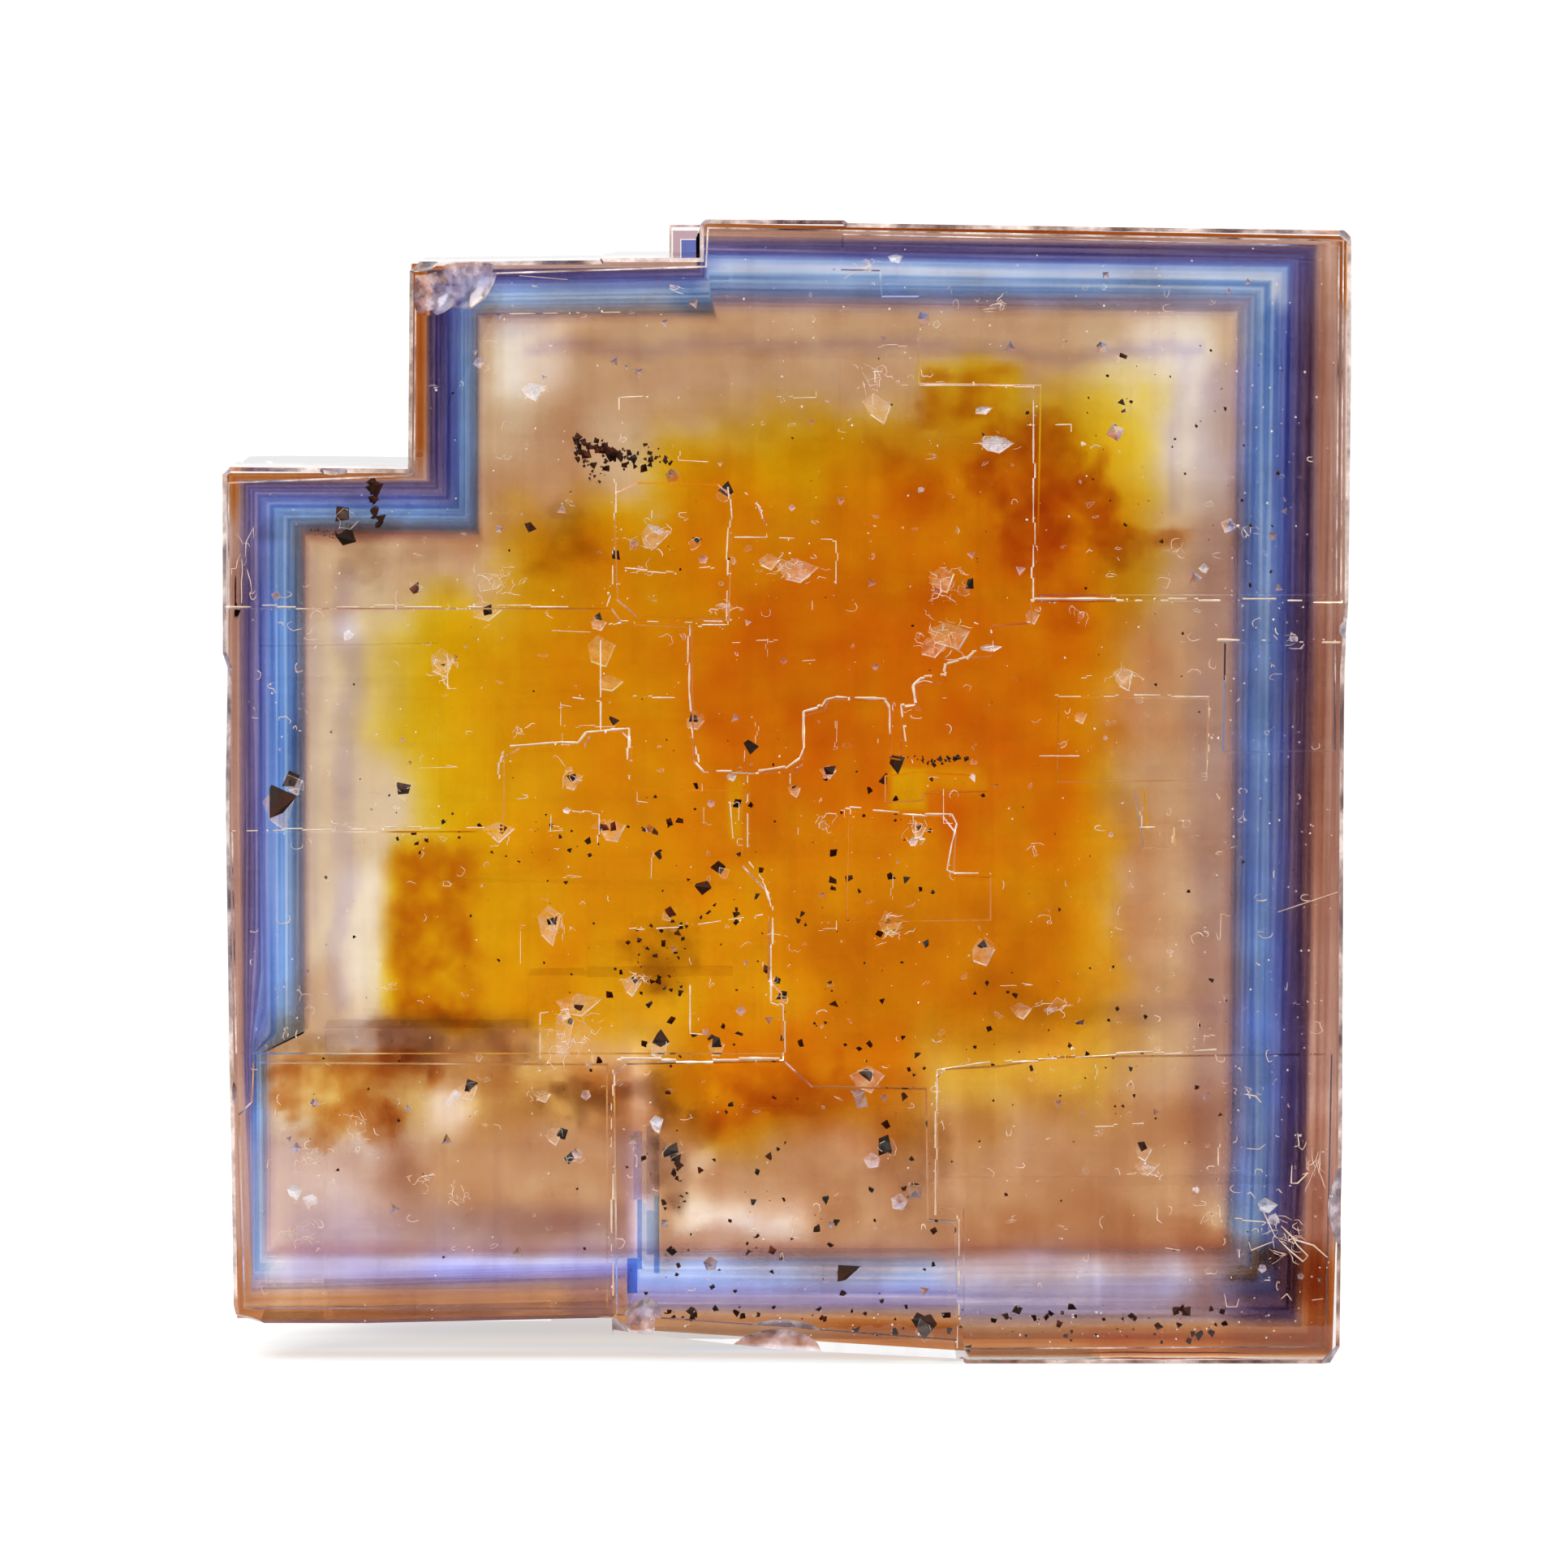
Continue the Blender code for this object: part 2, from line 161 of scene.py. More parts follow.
def clear_fluorite():
    """The cube faces: clear and smooth, with a slight mottle, faint growth lines and a slight swell."""
    material, nodes, links, output = new_material("clear_fluorite")
    shader = clear_shader(nodes)
    place = nodes.new("ShaderNodeTexCoord").outputs["Object"]
    mottle = ramp(
        nodes,
        links,
        grain_noise(nodes, links, place, 260.0, 6.0, 0.6),
        [(0.3, (0.86, 0.83, 0.83)), (0.6, (1.0, 1.0, 1.0))],
    )
    upright_lines = faint_lines(nodes, links, place, (1.0, 1.0, 0.02), (0.94, 0.92, 0.94))
    level_lines = faint_lines(nodes, links, place, (0.02, 1.0, 1.0), (0.95, 0.93, 0.94))
    colour = multiply_colours(nodes, links, mottle, upright_lines)
    colour = multiply_colours(nodes, links, colour, level_lines)
    links.new(colour, shader.inputs["Base Color"])
    bump = nodes.new("ShaderNodeBump")
    bump.inputs["Strength"].default_value = 0.12
    bump.inputs["Distance"].default_value = 0.06 * MM
    links.new(grain_noise(nodes, links, place, 420.0, 4.0, 0.5), bump.inputs["Height"])
    links.new(bump.outputs["Normal"], shader.inputs["Normal"])
    let_lamps_through(nodes, links, shader.outputs["BSDF"], output)
    return material


def frosted(name, pale, dull, clearness, roughness, scale):
    """Fluorite with a broken skin: whitish where it is worn through, clearer between. On the step edges that
    whitish is partly a painted highlight.

    Clearness and roughness are pairs, for the dull places and for the pale ones.
    """
    material, nodes, links, output = new_material(name)
    shader = nodes.new("ShaderNodeBsdfPrincipled")
    place = nodes.new("ShaderNodeTexCoord").outputs["Object"]
    worn = grain_noise(nodes, links, place, scale, 5.0, 0.6)
    links.new(
        ramp(nodes, links, worn, [(0.35, linear(dull)), (0.65, linear(pale))]),
        shader.inputs["Base Color"],
    )
    links.new(
        ramp(nodes, links, worn, [(0.35, (clearness[0],) * 3), (0.62, (clearness[1],) * 3)]),
        shader.inputs["Transmission Weight"],
    )
    links.new(
        ramp(nodes, links, worn, [(0.3, (roughness[0],) * 3), (0.7, (roughness[1],) * 3)]),
        shader.inputs["Roughness"],
    )
    shader.inputs["IOR"].default_value = FLUORITE_IOR
    let_lamps_through(nodes, links, shader.outputs["BSDF"], output)
    return material


BLOOM_FROM_Y, BLOOM_GONE_Y = -14.5, -6.0
BLOOM_COVER = 0.75


def bloomed_top():
    """The tops of the cubes: a whitish bloom along the front edge, which thins out to clear behind."""
    material, nodes, links, output = new_material("bloomed_top")
    bloom = nodes.new("ShaderNodeBsdfPrincipled")
    bloom.inputs["Roughness"].default_value = 0.5
    place = nodes.new("ShaderNodeTexCoord").outputs["Object"]
    patchy = grain_noise(nodes, links, place, 350.0, 5.0, 0.6)
    links.new(
        ramp(nodes, links, patchy, [(0.35, linear((222, 204, 200))), (0.65, linear((250, 240, 238)))]),
        bloom.inputs["Base Color"],
    )
    split = nodes.new("ShaderNodeSeparateXYZ")
    links.new(place, split.inputs["Vector"])
    behind = nodes.new("ShaderNodeMapRange")
    behind.inputs["From Min"].default_value = BLOOM_FROM_Y * MM
    behind.inputs["From Max"].default_value = BLOOM_GONE_Y * MM
    behind.inputs["To Min"].default_value = BLOOM_COVER
    behind.inputs["To Max"].default_value = 0.0
    links.new(split.outputs["Y"], behind.inputs["Value"])
    patches = ramp(nodes, links, patchy, [(0.3, (0.55,) * 3), (0.65, (1.0,) * 3)])
    cover = product(nodes, links, behind.outputs["Result"], patches)
    whole = blend(nodes, links, cover, clear_shader(nodes).outputs["BSDF"], bloom.outputs["BSDF"])
    let_lamps_through(nodes, links, whole, output)
    return material


def tinted_side(name, tint, worn):
    """The sides and ledges of the back: clear, with the pinkish brown of the outermost growth behind them.

    Worn is the share of the light that goes straight on, as on a dull face.
    """
    material, nodes, links, output = new_material(name)
    shader = clear_shader(nodes)
    place = nodes.new("ShaderNodeTexCoord").outputs["Object"]
    cloudy = grain_noise(nodes, links, place, 160.0, 4.0, 0.55)
    pale = tuple(0.35 + 0.65 * c for c in tint)
    links.new(ramp(nodes, links, cloudy, [(0.35, tint), (0.65, pale)]), shader.inputs["Base Color"])
    straight = straight_through(nodes, (0.97, 0.96, 0.95))
    whole = blend(nodes, links, worn, shader.outputs["BSDF"], straight)
    let_lamps_through(nodes, links, whole, output)
    return material


def worn_away(name, pale, cover):
    """Soft worn fluorite round the back: light goes nearly straight through, with a thin pale bloom."""
    material, nodes, links, output = new_material(name)
    bloom = nodes.new("ShaderNodeBsdfPrincipled")
    bloom.inputs["Base Color"].default_value = (*linear(pale), 1)
    bloom.inputs["Roughness"].default_value = 0.6
    straight = straight_through(nodes, (0.985, 0.98, 0.98))
    whole = blend(nodes, links, cover, straight, bloom.outputs["BSDF"])
    links.new(whole, output.inputs["Surface"])
    return material


crystal_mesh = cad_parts["fluorite_crystal"].data.copy()
crystal_mesh.name = "crystal"
work = bmesh.new()
work.from_mesh(crystal_mesh)
bmesh.ops.remove_doubles(work, verts=work.verts, dist=0.0005 * MM)
work.to_mesh(crystal_mesh)
work.free()
crystal = bpy.data.objects.new("crystal", crystal_mesh)
bpy.context.scene.collection.objects.link(crystal)


def above_steps(across, up, side_corner, middle_corner):
    """Whether a place is over the side block or the middle block, given the inner corner of each step."""
    return any(across < corner[0] and up > corner[1] for corner in (side_corner, middle_corner))


# The pits: small sharp holes where the outermost skin has been plucked out.
PIT_SEED, PITS = 11, 130
PIT_MARGIN, PIT_LOW, PIT_HIGH = 1.5, 3.5, 60.0
PIT_WIDTHS, PIT_DEPTHS = (0.08, 0.28), (0.25, 0.5)
PIT_POINT, PIT_FLARE, PIT_SINK = 0.02, 2.2, 2.6
picker = random.Random(PIT_SEED)
pits = bmesh.new()
for _ in range(PITS):
    across = picker.uniform(LEFT_X + PIT_MARGIN, RIGHT_X - PIT_MARGIN)
    up = picker.uniform(PIT_LOW, PIT_HIGH)
    side_corner = (MIDDLE_LEFT_X + 1, SIDE_TOP_Z - PIT_MARGIN)
    if above_steps(across, up, side_corner, (MAIN_LEFT_X, MIDDLE_TOP_Z - 1)):
        continue
    width = picker.uniform(*PIT_WIDTHS)
    turn = Matrix.Rotation(picker.uniform(-math.pi, math.pi), 4, "Y") @ Matrix.Rotation(math.pi / 2, 4, "X")
    spot = Matrix.Translation(Vector((across, SHOW_FACE_Y + picker.uniform(*PIT_DEPTHS), up)) * MM)
    bmesh.ops.create_cone(
        pits,
        cap_ends=True,
        segments=picker.choice((3, 3, 4, 5)),
        radius1=PIT_POINT * MM,
        radius2=width * PIT_FLARE * MM,
        depth=width * PIT_SINK * MM,
        matrix=spot @ turn,
    )
pit_mesh = bpy.data.meshes.new("pits")
pits.to_mesh(pit_mesh)
pits.free()
pit_cutter = bpy.data.objects.new("pits", pit_mesh)
bpy.context.scene.collection.objects.link(pit_cutter)
cut = crystal.modifiers.new("pits", "BOOLEAN")
cut.operation = "DIFFERENCE"
cut.solver = "EXACT"
cut.use_self = True
cut.object = pit_cutter
bpy.context.view_layer.update()
graph = bpy.context.evaluated_depsgraph_get()
pitted = bpy.data.meshes.new_from_object(crystal.evaluated_get(graph))
crystal.modifiers.clear()
crystal.data = pitted
bpy.data.objects.remove(pit_cutter)

crystal.data.materials.clear()
for material in (
    clear_fluorite(),
    # The step edges: whitish frost that is partly worn skin and partly a painted highlight along the outline.
    frosted(
        "frosted_step_edge_painted_highlight",
        pale=(248, 232, 224),
        dull=(216, 176, 150),
        clearness=(1.0, 0.45),
        roughness=(0.0, 0.35),
        scale=420.0,
    ),
    frosted(
        "shell_break",
        pale=(236, 220, 226),
        dull=(186, 158, 166),
        clearness=(0.97, 0.62),
        roughness=(0.0, 0.3),
        scale=900.0,
    ),
    bloomed_top(),
    worn_away("worn_back_edge", pale=(226, 214, 212), cover=0.03),
    tinted_side("tinted_side", tint=(0.52, 0.33, 0.27), worn=0.0),
    tinted_side("dull_ledge", tint=(0.62, 0.46, 0.40), worn=0.72),
):
    crystal.data.materials.append(material)
CLEAR, EDGE, BREAK, TOP, BACK, SIDE, LEDGE = range(7)
# Sloping faces are worn soft from SEEN_UP_TO_Y back, and flat ones are tinted from BACK_FROM_Y back.
SEEN_UP_TO_Y, BACK_FROM_Y = -15.0, 0.5
LOWEST_TOP_Z, LOWEST_LEDGE_Z = 40, 4
OUTER_X, OUTER_LOW_Z = 29.7, 1.0
# How far a face's normal goes along an axis: a flat cube face, one that mostly faces it, and a chamfer.
FLAT, MOSTLY, CHAMFER, CHAMFER_GIVE = 0.994, 0.9, 0.707, 0.03


def on_outline(across, up):
    """Whether a place on the show face lies by the outer walls of the cubes, not on an inner step."""
    beside = abs(across) > OUTER_X or up < OUTER_LOW_Z or up > TALLEST_Z - 1.2
    side_corner = (MIDDLE_LEFT_X + 0.8, SIDE_TOP_Z - 0.8)
    return beside or above_steps(across, up, side_corner, (MAIN_LEFT_X + 0.7, MIDDLE_TOP_Z - 0.8))


for face in crystal.data.polygons:
    along = sorted((abs(c) for c in face.normal), reverse=True)
    chamfer = abs(along[0] - CHAMFER) < CHAMFER_GIVE and abs(along[1] - CHAMFER) < CHAMFER_GIVE
    y = face.center.y / MM
    if along[0] > FLAT:
        level_top = face.normal.z > MOSTLY and face.center.z > LOWEST_TOP_Z * MM
        behind = abs(face.normal.y) < 0.5 and y > BACK_FROM_Y
        level = behind and abs(face.normal.z) > MOSTLY
        ledge = level and LOWEST_LEDGE_Z * MM < face.center.z < LOWEST_TOP_Z * MM
        face.material_index = TOP if level_top else LEDGE if ledge else SIDE if behind else CLEAR
    elif y > SEEN_UP_TO_Y and face.normal.y > -0.1:
        face.material_index = BACK
    # Chamfers by the outline take the frosted edge, partly a painted highlight.
    elif chamfer:
        face.material_index = EDGE if on_outline(face.center.x / MM, face.center.z / MM) else CLEAR
    else:
        face.material_index = BREAK
    face.use_smooth = True
SMOOTH_UP_TO = math.radians(16)
work = bmesh.new()
work.from_mesh(crystal.data)
for edge in work.edges:
    edge.smooth = len(edge.link_faces) == 2 and edge.calc_face_angle(0.0) < SMOOTH_UP_TO
work.to_mesh(crystal.data)
work.free()
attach(crystal, "root")
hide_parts("fluorite_crystal")

# ---------------------------------------------------------------------------------------------------------
# The outer growth zones: thin layers of coloured fluorite parallel to the cube faces, one inside another.
# They are pinkish brown at the rim, then violet, then blue with clear lines, and show where seen edge on.

# The show face is looked at from EYE_DISTANCE mm off and slightly above, and the mineral bends that line.
EYE_DISTANCE, EYE_TILT, EYE_Z = 800.0, math.radians(3.0), 31.05
SIGHT = EYE_DISTANCE * FLUORITE_IOR
SIGHT_FALL = math.tan(math.asin(math.sin(EYE_TILT) / FLUORITE_IOR))
# Corners in the same order in each loop: up the left side, over the three tops, down the right, and back.
ZONE_LOOPS = [
    [  # the outside of the pinkish rim
        (-29.85, 2.45), (-30.3, 17.0), (-30.42, 30.0), (-30.4, 48.4), (-20.35, 48.4), (-20.35, 59.7),
        (-4.55, 59.85), (-4.55, 61.9), (30.35, 61.2), (30.3, 40.0), (29.95, 12.0), (29.6, 0.35),
        (9.9, 0.35), (9.7, 0.75), (-9.0, 1.95), (-9.3, 2.45),
    ],
    [  # from rim to violet
        (-29.0, 4.0), (-29.4, 17.0), (-29.5, 30.0), (-29.5, 47.95), (-19.35, 47.95), (-19.35, 59.35),
        (-4.9, 59.5), (-4.9, 61.1), (28.5, 60.6), (28.35, 40.0), (28.0, 12.0), (27.6, 2.4),
        (9.4, 2.4), (9.3, 2.9), (-8.5, 3.1), (-8.7, 4.8),
    ],
    [  # from violet to blue
        (-28.9, 5.0), (-28.9, 17.0), (-28.1, 18.0), (-28.1, 46.8), (-18.0, 46.8), (-18.0, 58.6),
        (-4.3, 58.8), (-4.3, 59.9), (26.9, 59.4), (26.7, 40.0), (26.4, 12.0), (26.2, 4.4),
        (9.2, 4.3), (9.0, 4.3), (-8.1, 4.4), (-8.3, 5.4),
    ],
    [  # from blue to the cream core
        (-28.25, 6.1), (-28.25, 17.0), (-26.2, 18.0), (-26.2, 45.3), (-16.75, 45.3), (-16.75, 57.0),
        (-4.0, 57.1), (-4.0, 57.7), (24.6, 57.4), (24.4, 40.0), (24.2, 12.0), (23.9, 6.3),
        (9.0, 6.2), (8.9, 6.1), (-7.4, 6.1), (-7.6, 6.1),
    ],
    [  # where the last of the blue has faded
        (-27.5, 6.9), (-27.5, 17.5), (-25.7, 18.6), (-25.7, 44.4), (-16.3, 44.4), (-16.3, 56.3),
        (-3.6, 56.4), (-3.6, 56.7), (23.8, 56.4), (23.6, 40.0), (23.4, 12.0), (23.1, 7.1),
        (8.9, 7.0), (8.8, 6.9), (-6.7, 6.9), (-6.9, 6.9),
    ],
]


def in_sight(across, up, y):
    """Where a place on the show face lies along its own line of sight, at depth y."""
    depth = y - SHOW_FACE_Y
    return (
        across * (1 + depth / SIGHT),
        EYE_Z + (up - EYE_Z) * (1 + depth / SIGHT) - depth * SIGHT_FALL,
    )


# The inner bodies stay this far behind the show face, and inside each side's wall, which steps in at a depth.
BEHIND_FACE, ABOVE_BASE = 0.75, 0.15
LEFT_WALL, LEFT_WALL_BEHIND, LEFT_STEP_Y = -30.38, -29.66, -6.4
RIGHT_WALL, RIGHT_WALL_BEHIND, RIGHT_STEP_Y = 30.38, 29.84, -2.6
MIDDLE_WALL, SMALL_CUBE_WALL = MIDDLE_LEFT_X + 0.15, -6.25


def keep_inside(x, y, z):
    """Holds a place of an inner body inside the crystal's walls."""
    y = max(y, SHOW_FACE_Y + BEHIND_FACE)
    left = LEFT_WALL if y < LEFT_STEP_Y else LEFT_WALL_BEHIND
    right = RIGHT_WALL if y < RIGHT_STEP_Y else RIGHT_WALL_BEHIND
    if z > SIDE_TOP_Z:
        left = MIDDLE_WALL
    if z > MIDDLE_TOP_Z:
        left = SMALL_CUBE_WALL
    return Vector((min(max(x, left), right), y, max(z, ABOVE_BASE)))


def zone_material(name, takes, path_mm):
    """Coloured fluorite inside the clear: light goes straight in, and takes its colour from the depth.

    Takes is the absorbance for red, green and blue after path_mm of the mineral.
    """
    material, nodes, links, output = new_material(name)
    links.new(straight_through(nodes), output.inputs["Surface"])
    per_metre = [t / (path_mm * MM) for t in takes]
    density = max(per_metre)
    volume = nodes.new("ShaderNodeVolumeAbsorption")
    volume.inputs["Color"].default_value = (*[1 - t / density for t in per_metre], 1)
    volume.inputs["Density"].default_value = density
    links.new(volume.outputs["Volume"], output.inputs["Volume"])
    return material


def add_piece(name, work, *materials):
    """Makes a named piece of the mesh in work, without its loose points, that rides with the crystal."""
    bmesh.ops.delete(work, geom=[v for v in work.verts if not v.link_faces], context="VERTS")
    mesh = bpy.data.meshes.new(name)
    work.to_mesh(mesh)
    work.free()
    for material in materials:
        mesh.materials.append(material)
    piece = bpy.data.objects.new(name, mesh)
    bpy.context.scene.collection.objects.link(piece)
    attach(piece, "root")


def between(pairs, place):
    """Straight lines through the pairs (place, value), read at place."""
    for (a, low), (b, high) in zip(pairs, pairs[1:]):
        if place <= b:
            return low + (high - low) * (place - a) / (b - a)
    return pairs[-1][1]


def zone_place(zone, side, share):
    """A point of the nested loops: zone 0 to 4 goes inward, side and share go round."""
    ring = min(int(zone), len(ZONE_LOOPS) - 2)
    inward = zone - ring
    points = []
    for loop in (ZONE_LOOPS[ring], ZONE_LOOPS[ring + 1]):
        (a, b), (c, d) = loop[side], loop[(side + 1) % len(loop)]
        points.append((a + (c - a) * share, b + (d - b) * share))
    (a, b), (c, d) = points
    return a + (c - a) * inward, b + (d - b) * inward


STATION_STEP, COLUMNS_PER_ZONE = 0.9, 24
THINNEST_HALF = 0.01


def growth_band(
    name, mineral, profile, middle, thickness, weight, lines=0.2, fine=9.0, seed=0.0, nearest=1.0
):
    """A closed band round the nested loops. Its thickness follows profile, as (zone, share) pairs.

    Mineral is a name and what it takes of red, green and blue over that thickness. Middle is a depth.
    """
    first, last = profile[0][0], profile[-1][0]
    columns = max(int((last - first) * COLUMNS_PER_ZONE), 4)
    stations = []
    for side in range(len(ZONE_LOOPS[0])):
        (a, b), (c, d) = ZONE_LOOPS[1][side], ZONE_LOOPS[1][(side + 1) % len(ZONE_LOOPS[1])]
        steps = max(int(math.hypot(c - a, d - b) / STATION_STEP), 1)
        stations += [(side, k / steps) for k in range(steps)]
    work = bmesh.new()
    grid = []
    for side, share in stations:
        row = []
        for k in range(columns + 1):
            zone = first + (last - first) * k / columns
            across, up = zone_place(zone, side, share)
            streak = noise.noise(Vector((zone * fine, across * 0.06 + up * 0.06, seed)))
            streak += 0.6 * noise.noise(Vector((zone * fine * 2.7, across * 0.1 - up * 0.1, seed + 9)))
            patchy = noise.fractal(Vector((across * 0.35, up * 0.35, seed + 4)), 0.9, 2.0, 3)
            thick = between(profile, zone) * (1 + lines * streak * 1.6 + 0.12 * patchy)
            half = max(thick * weight(across, up, zone), 0.0) * thickness / 2
            if k not in (0, columns):
                half = max(half, THINNEST_HALF)
            near = max(middle - half, SHOW_FACE_Y + nearest)
            x, z = in_sight(across, up, near)
            front = work.verts.new(keep_inside(x, near, z) * MM)
            x, z = in_sight(across, up, near + 2 * half)
            back = work.verts.new(keep_inside(x, near + 2 * half, z) * MM) if half > 0 else front
            row.append((front, back))
        grid.append(row)
    for row, following in zip(grid, grid[1:] + grid[:1]):
        for k in range(columns):
            for layer in (0, 1):
                corners = [row[k][layer], following[k][layer], following[k + 1][layer], row[k + 1][layer]]
                work.faces.new(corners if layer else corners[::-1])
        for k in (0, columns):
            if row[k][0] is not row[k][1]:
                corners = [row[k][0], following[k][0], following[k][1], row[k][1]]
                work.faces.new(corners if k == 0 else corners[::-1])
    bmesh.ops.recalc_face_normals(work, faces=work.faces)
    add_piece(name, work, zone_material(*mineral, thickness))


def rise(value, start, end):
    """0 before start and 1 after end, with a soft climb between."""
    share = min(max((value - start) / (end - start), 0.0), 1.0)
    return share * share * (3 - 2 * share)


def along_foot(across, up):
    """1 along the bottom of the specimen, fading up its sides."""
    return (1 - rise(up, 5.5, 9.0)) * (1 - rise(across, 22.5, 26.5)) * rise(across, -29.0, -27.5)


def middle_foot(across):
    """1 along the middle block of the foot."""
    return rise(across, -9.5, -7.5) * (1 - rise(across, 7.0, 10.0))


def light_line(zone, middle, width):
    """1 along a thin clear layer, and 0 beside it."""
    return math.exp(-(((zone - middle) / width) ** 2))


def main_top(across, up):
    """1 along the main block's top."""
    return rise(up, 57.0, 57.8) * rise(across, -6, -3)


def right_side(across, up):
    """1 along the right side, up to the top."""
    return rise(across, 23.4, 24.6) * (1 - rise(up, 56.0, 58.0))


def left_side(across, up):
    """1 along the side block's left side, above the foot."""
    return (1 - rise(across, -25.4, -24.4)) * (1 - rise(up, 42.5, 45.0)) * rise(up, 14.0, 18.0)


def middle_left(across, up):
    """1 along the middle block's left side."""
    return rise(up, 47.0, 49.0) * (1 - rise(across, -17.5, -16.0)) * (1 - rise(up, 57.5, 58.5))


def side_block_top(across, up):
    """1 along the side block's top."""
    return (1 - rise(across, -20.0, -16.0)) * rise(up, 42.5, 45.0)


def left_foot(across, up):
    """1 in the lower left corner."""
    return (1 - rise(across, -24, -16)) * (1 - rise(up, 11, 16))


def rim_weight(across, up, zone):
    """How thick the pinkish rim is from place to place: most on the right side, least along the foot."""
    weight = 1.0 + 0.42 * right_side(across, up) + 0.3 * left_side(across, up) + 0.1 * main_top(across, up)
    weight += 0.35 * right_side(across, up) * rise(zone, 0.7, 1.1)
    return weight * (1 - 0.25 * along_foot(across, up))


def stain_weight(across, up, zone):
    """Where iron has stained the rim orange: the middle block's left side most, and parts of the foot."""
    middle_side = (1 - rise(across, -19.5, -17.5)) * rise(up, 48.5, 50.0) * rise(across, -23, -21)
    side_top = 0.8 * rise(up, 45.5, 47.0) * (1 - rise(across, -21.5, -20.5)) * (1 - rise(up, 50, 51))
    foot = (0.45 + 0.4 * rise(across, 0.0, 4.0) + 0.45 * rise(across, 14.0, 18.0)) * (1 - rise(up, 5.0, 7.0))
    foot *= 1 - 0.35 * rise(across, 23.0, 27.0)
    top_edge = 1.3 * (1 - rise(zone, 0.16, 0.34)) * main_top(across, up)
    return max(middle_side, side_top, foot, top_edge, 0.12 * main_top(across, up), 0.03)


def violet_weight(across, up, zone):
    """How thick the violet is: most on the middle block's left side, and thin along the foot."""
    weight = 0.95 - 0.15 * side_block_top(across, up) - 0.1 * left_side(across, up)
    weight += 0.08 * right_side(across, up) + 0.35 * middle_left(across, up)
    weight *= 1 - 0.7 * main_top(across, up) * rise(zone, 1.65, 1.95)
    weight *= 1 - 0.15 * left_side(across, up) * rise(zone, 1.55, 1.8)
    return weight * (1 - 0.6 * along_foot(across, up)) * (1 - 0.6 * left_foot(across, up))


def blue_weight(across, up, zone):
    """How thick the blue is: full on the sides, split by clear lines, and nearly gone along the foot."""
    weight = 1.0 - 0.1 * side_block_top(across, up) + 0.08 * left_side(across, up)
    weight -= 0.25 * left_side(across, up) * (1 - rise(up, 26.0, 32.0))
    weight -= 0.18 * main_top(across, up) + 0.07 * right_side(across, up)
    weight -= 0.4 * rise(up, 56.2, 56.8) * (1 - rise(across, -7.0, -5.0)) * rise(across, -17.0, -16.0)
    first = 0.15 + 0.3 * left_side(across, up) + 0.4 * side_block_top(across, up)
    weight *= 1 - min(first, 0.75) * light_line(zone, 1.98, 0.09)
    weight *= 1 - (0.4 - 0.3 * right_side(across, up)) * light_line(zone, 2.52, 0.045)
    weight *= 1 - 0.7 * main_top(across, up) * light_line(zone, 2.18, 0.16)
    weight *= 1 - (0.86 - 0.3 * middle_foot(across)) * along_foot(across, up)
    return weight * (1 - 0.35 * left_foot(across, up))


growth_band(
    "pinkish_rim_zone",
    ("pinkish_rim", (0.72, 1.22, 1.42)),
    [(0.0, 0.85), (0.25, 1.0), (0.8, 0.95), (1.15, 0.6), (1.5, 0.3), (1.9, 0.0)],
    middle=-12.0,
    thickness=6.0,
    fine=6.0,
    seed=1.3,
    weight=rim_weight,
)
growth_band(
    "iron_stained_rim",
    ("iron_stain", (0.22, 1.0, 2.4)),
    [(0.0, 1.0), (0.6, 0.95), (1.0, 0.25), (1.25, 0.0)],
    middle=-12.0,
    thickness=5.0,
    fine=4.0,
    seed=2.8,
    weight=stain_weight,
    lines=0.3,
    nearest=1.15,
)
growth_band(
    "violet_zone",
    ("violet", (2.1, 2.14, 1.0)),
    [(0.8, 0.0), (1.12, 0.9), (1.55, 1.0), (1.85, 0.8), (2.3, 0.0)],
    middle=-8.5,
    thickness=12.0,
    fine=8.0,
    seed=5.9,
    weight=violet_weight,
    nearest=1.3,
    lines=0.32,
)
growth_band(
    "blue_zone",
    ("blue", (1.95, 1.3, 0.5)),
    [
        (1.55, 0.0), (1.85, 0.6), (2.1, 0.95), (2.4, 1.1), (2.7, 1.05), (2.9, 0.85),
        (3.1, 0.5), (3.4, 0.16), (3.8, 0.0),
    ],
    middle=-8.5,
    thickness=12.0,
    fine=10.0,
    seed=7.7,
    weight=blue_weight,
    nearest=1.45,
    lines=0.32,
)


def fringe_weight(across, up, zone):
    """How thick the brown fringe is: most along the tops of the blocks."""
    weight = 0.5 + 0.5 * main_top(across, up) + 0.6 * side_block_top(across, up) * rise(across, -27.0, -25.0)
    return weight * (1 - 0.8 * middle_left(across, up))


growth_band(
    "brown_inner_fringe",
    ("brown_fringe", (0.15, 0.72, 0.75)),
    [(2.6, 0.0), (2.95, 0.8), (3.2, 1.0), (3.5, 0.5), (3.95, 0.0)],
    middle=-3.0,
    thickness=3.0,
    fine=7.0,
    seed=3.9,
    weight=fringe_weight,
    lines=0.2,
)


def zone_blocks(name, material, blocks):
    """Plain closed blocks of coloured fluorite, as (left, right, low, high, near, far)."""
    work = bmesh.new()
    for left, right, low, high, near, far in blocks:
        corners = []
        for y in (near, far):
            for across, up in ((left, low), (right, low), (right, high), (left, high)):
                x, z = in_sight(across, up, y)
                corners.append(work.verts.new(Vector((x, y, z)) * MM))
        for k in range(4):
            following = (k + 1) % 4
            work.faces.new([corners[k], corners[following], corners[following + 4], corners[k + 4]])
        work.faces.new(corners[:4][::-1])
        work.faces.new(corners[4:])
    bmesh.ops.recalc_face_normals(work, faces=work.faces)
    add_piece(name, work, material)


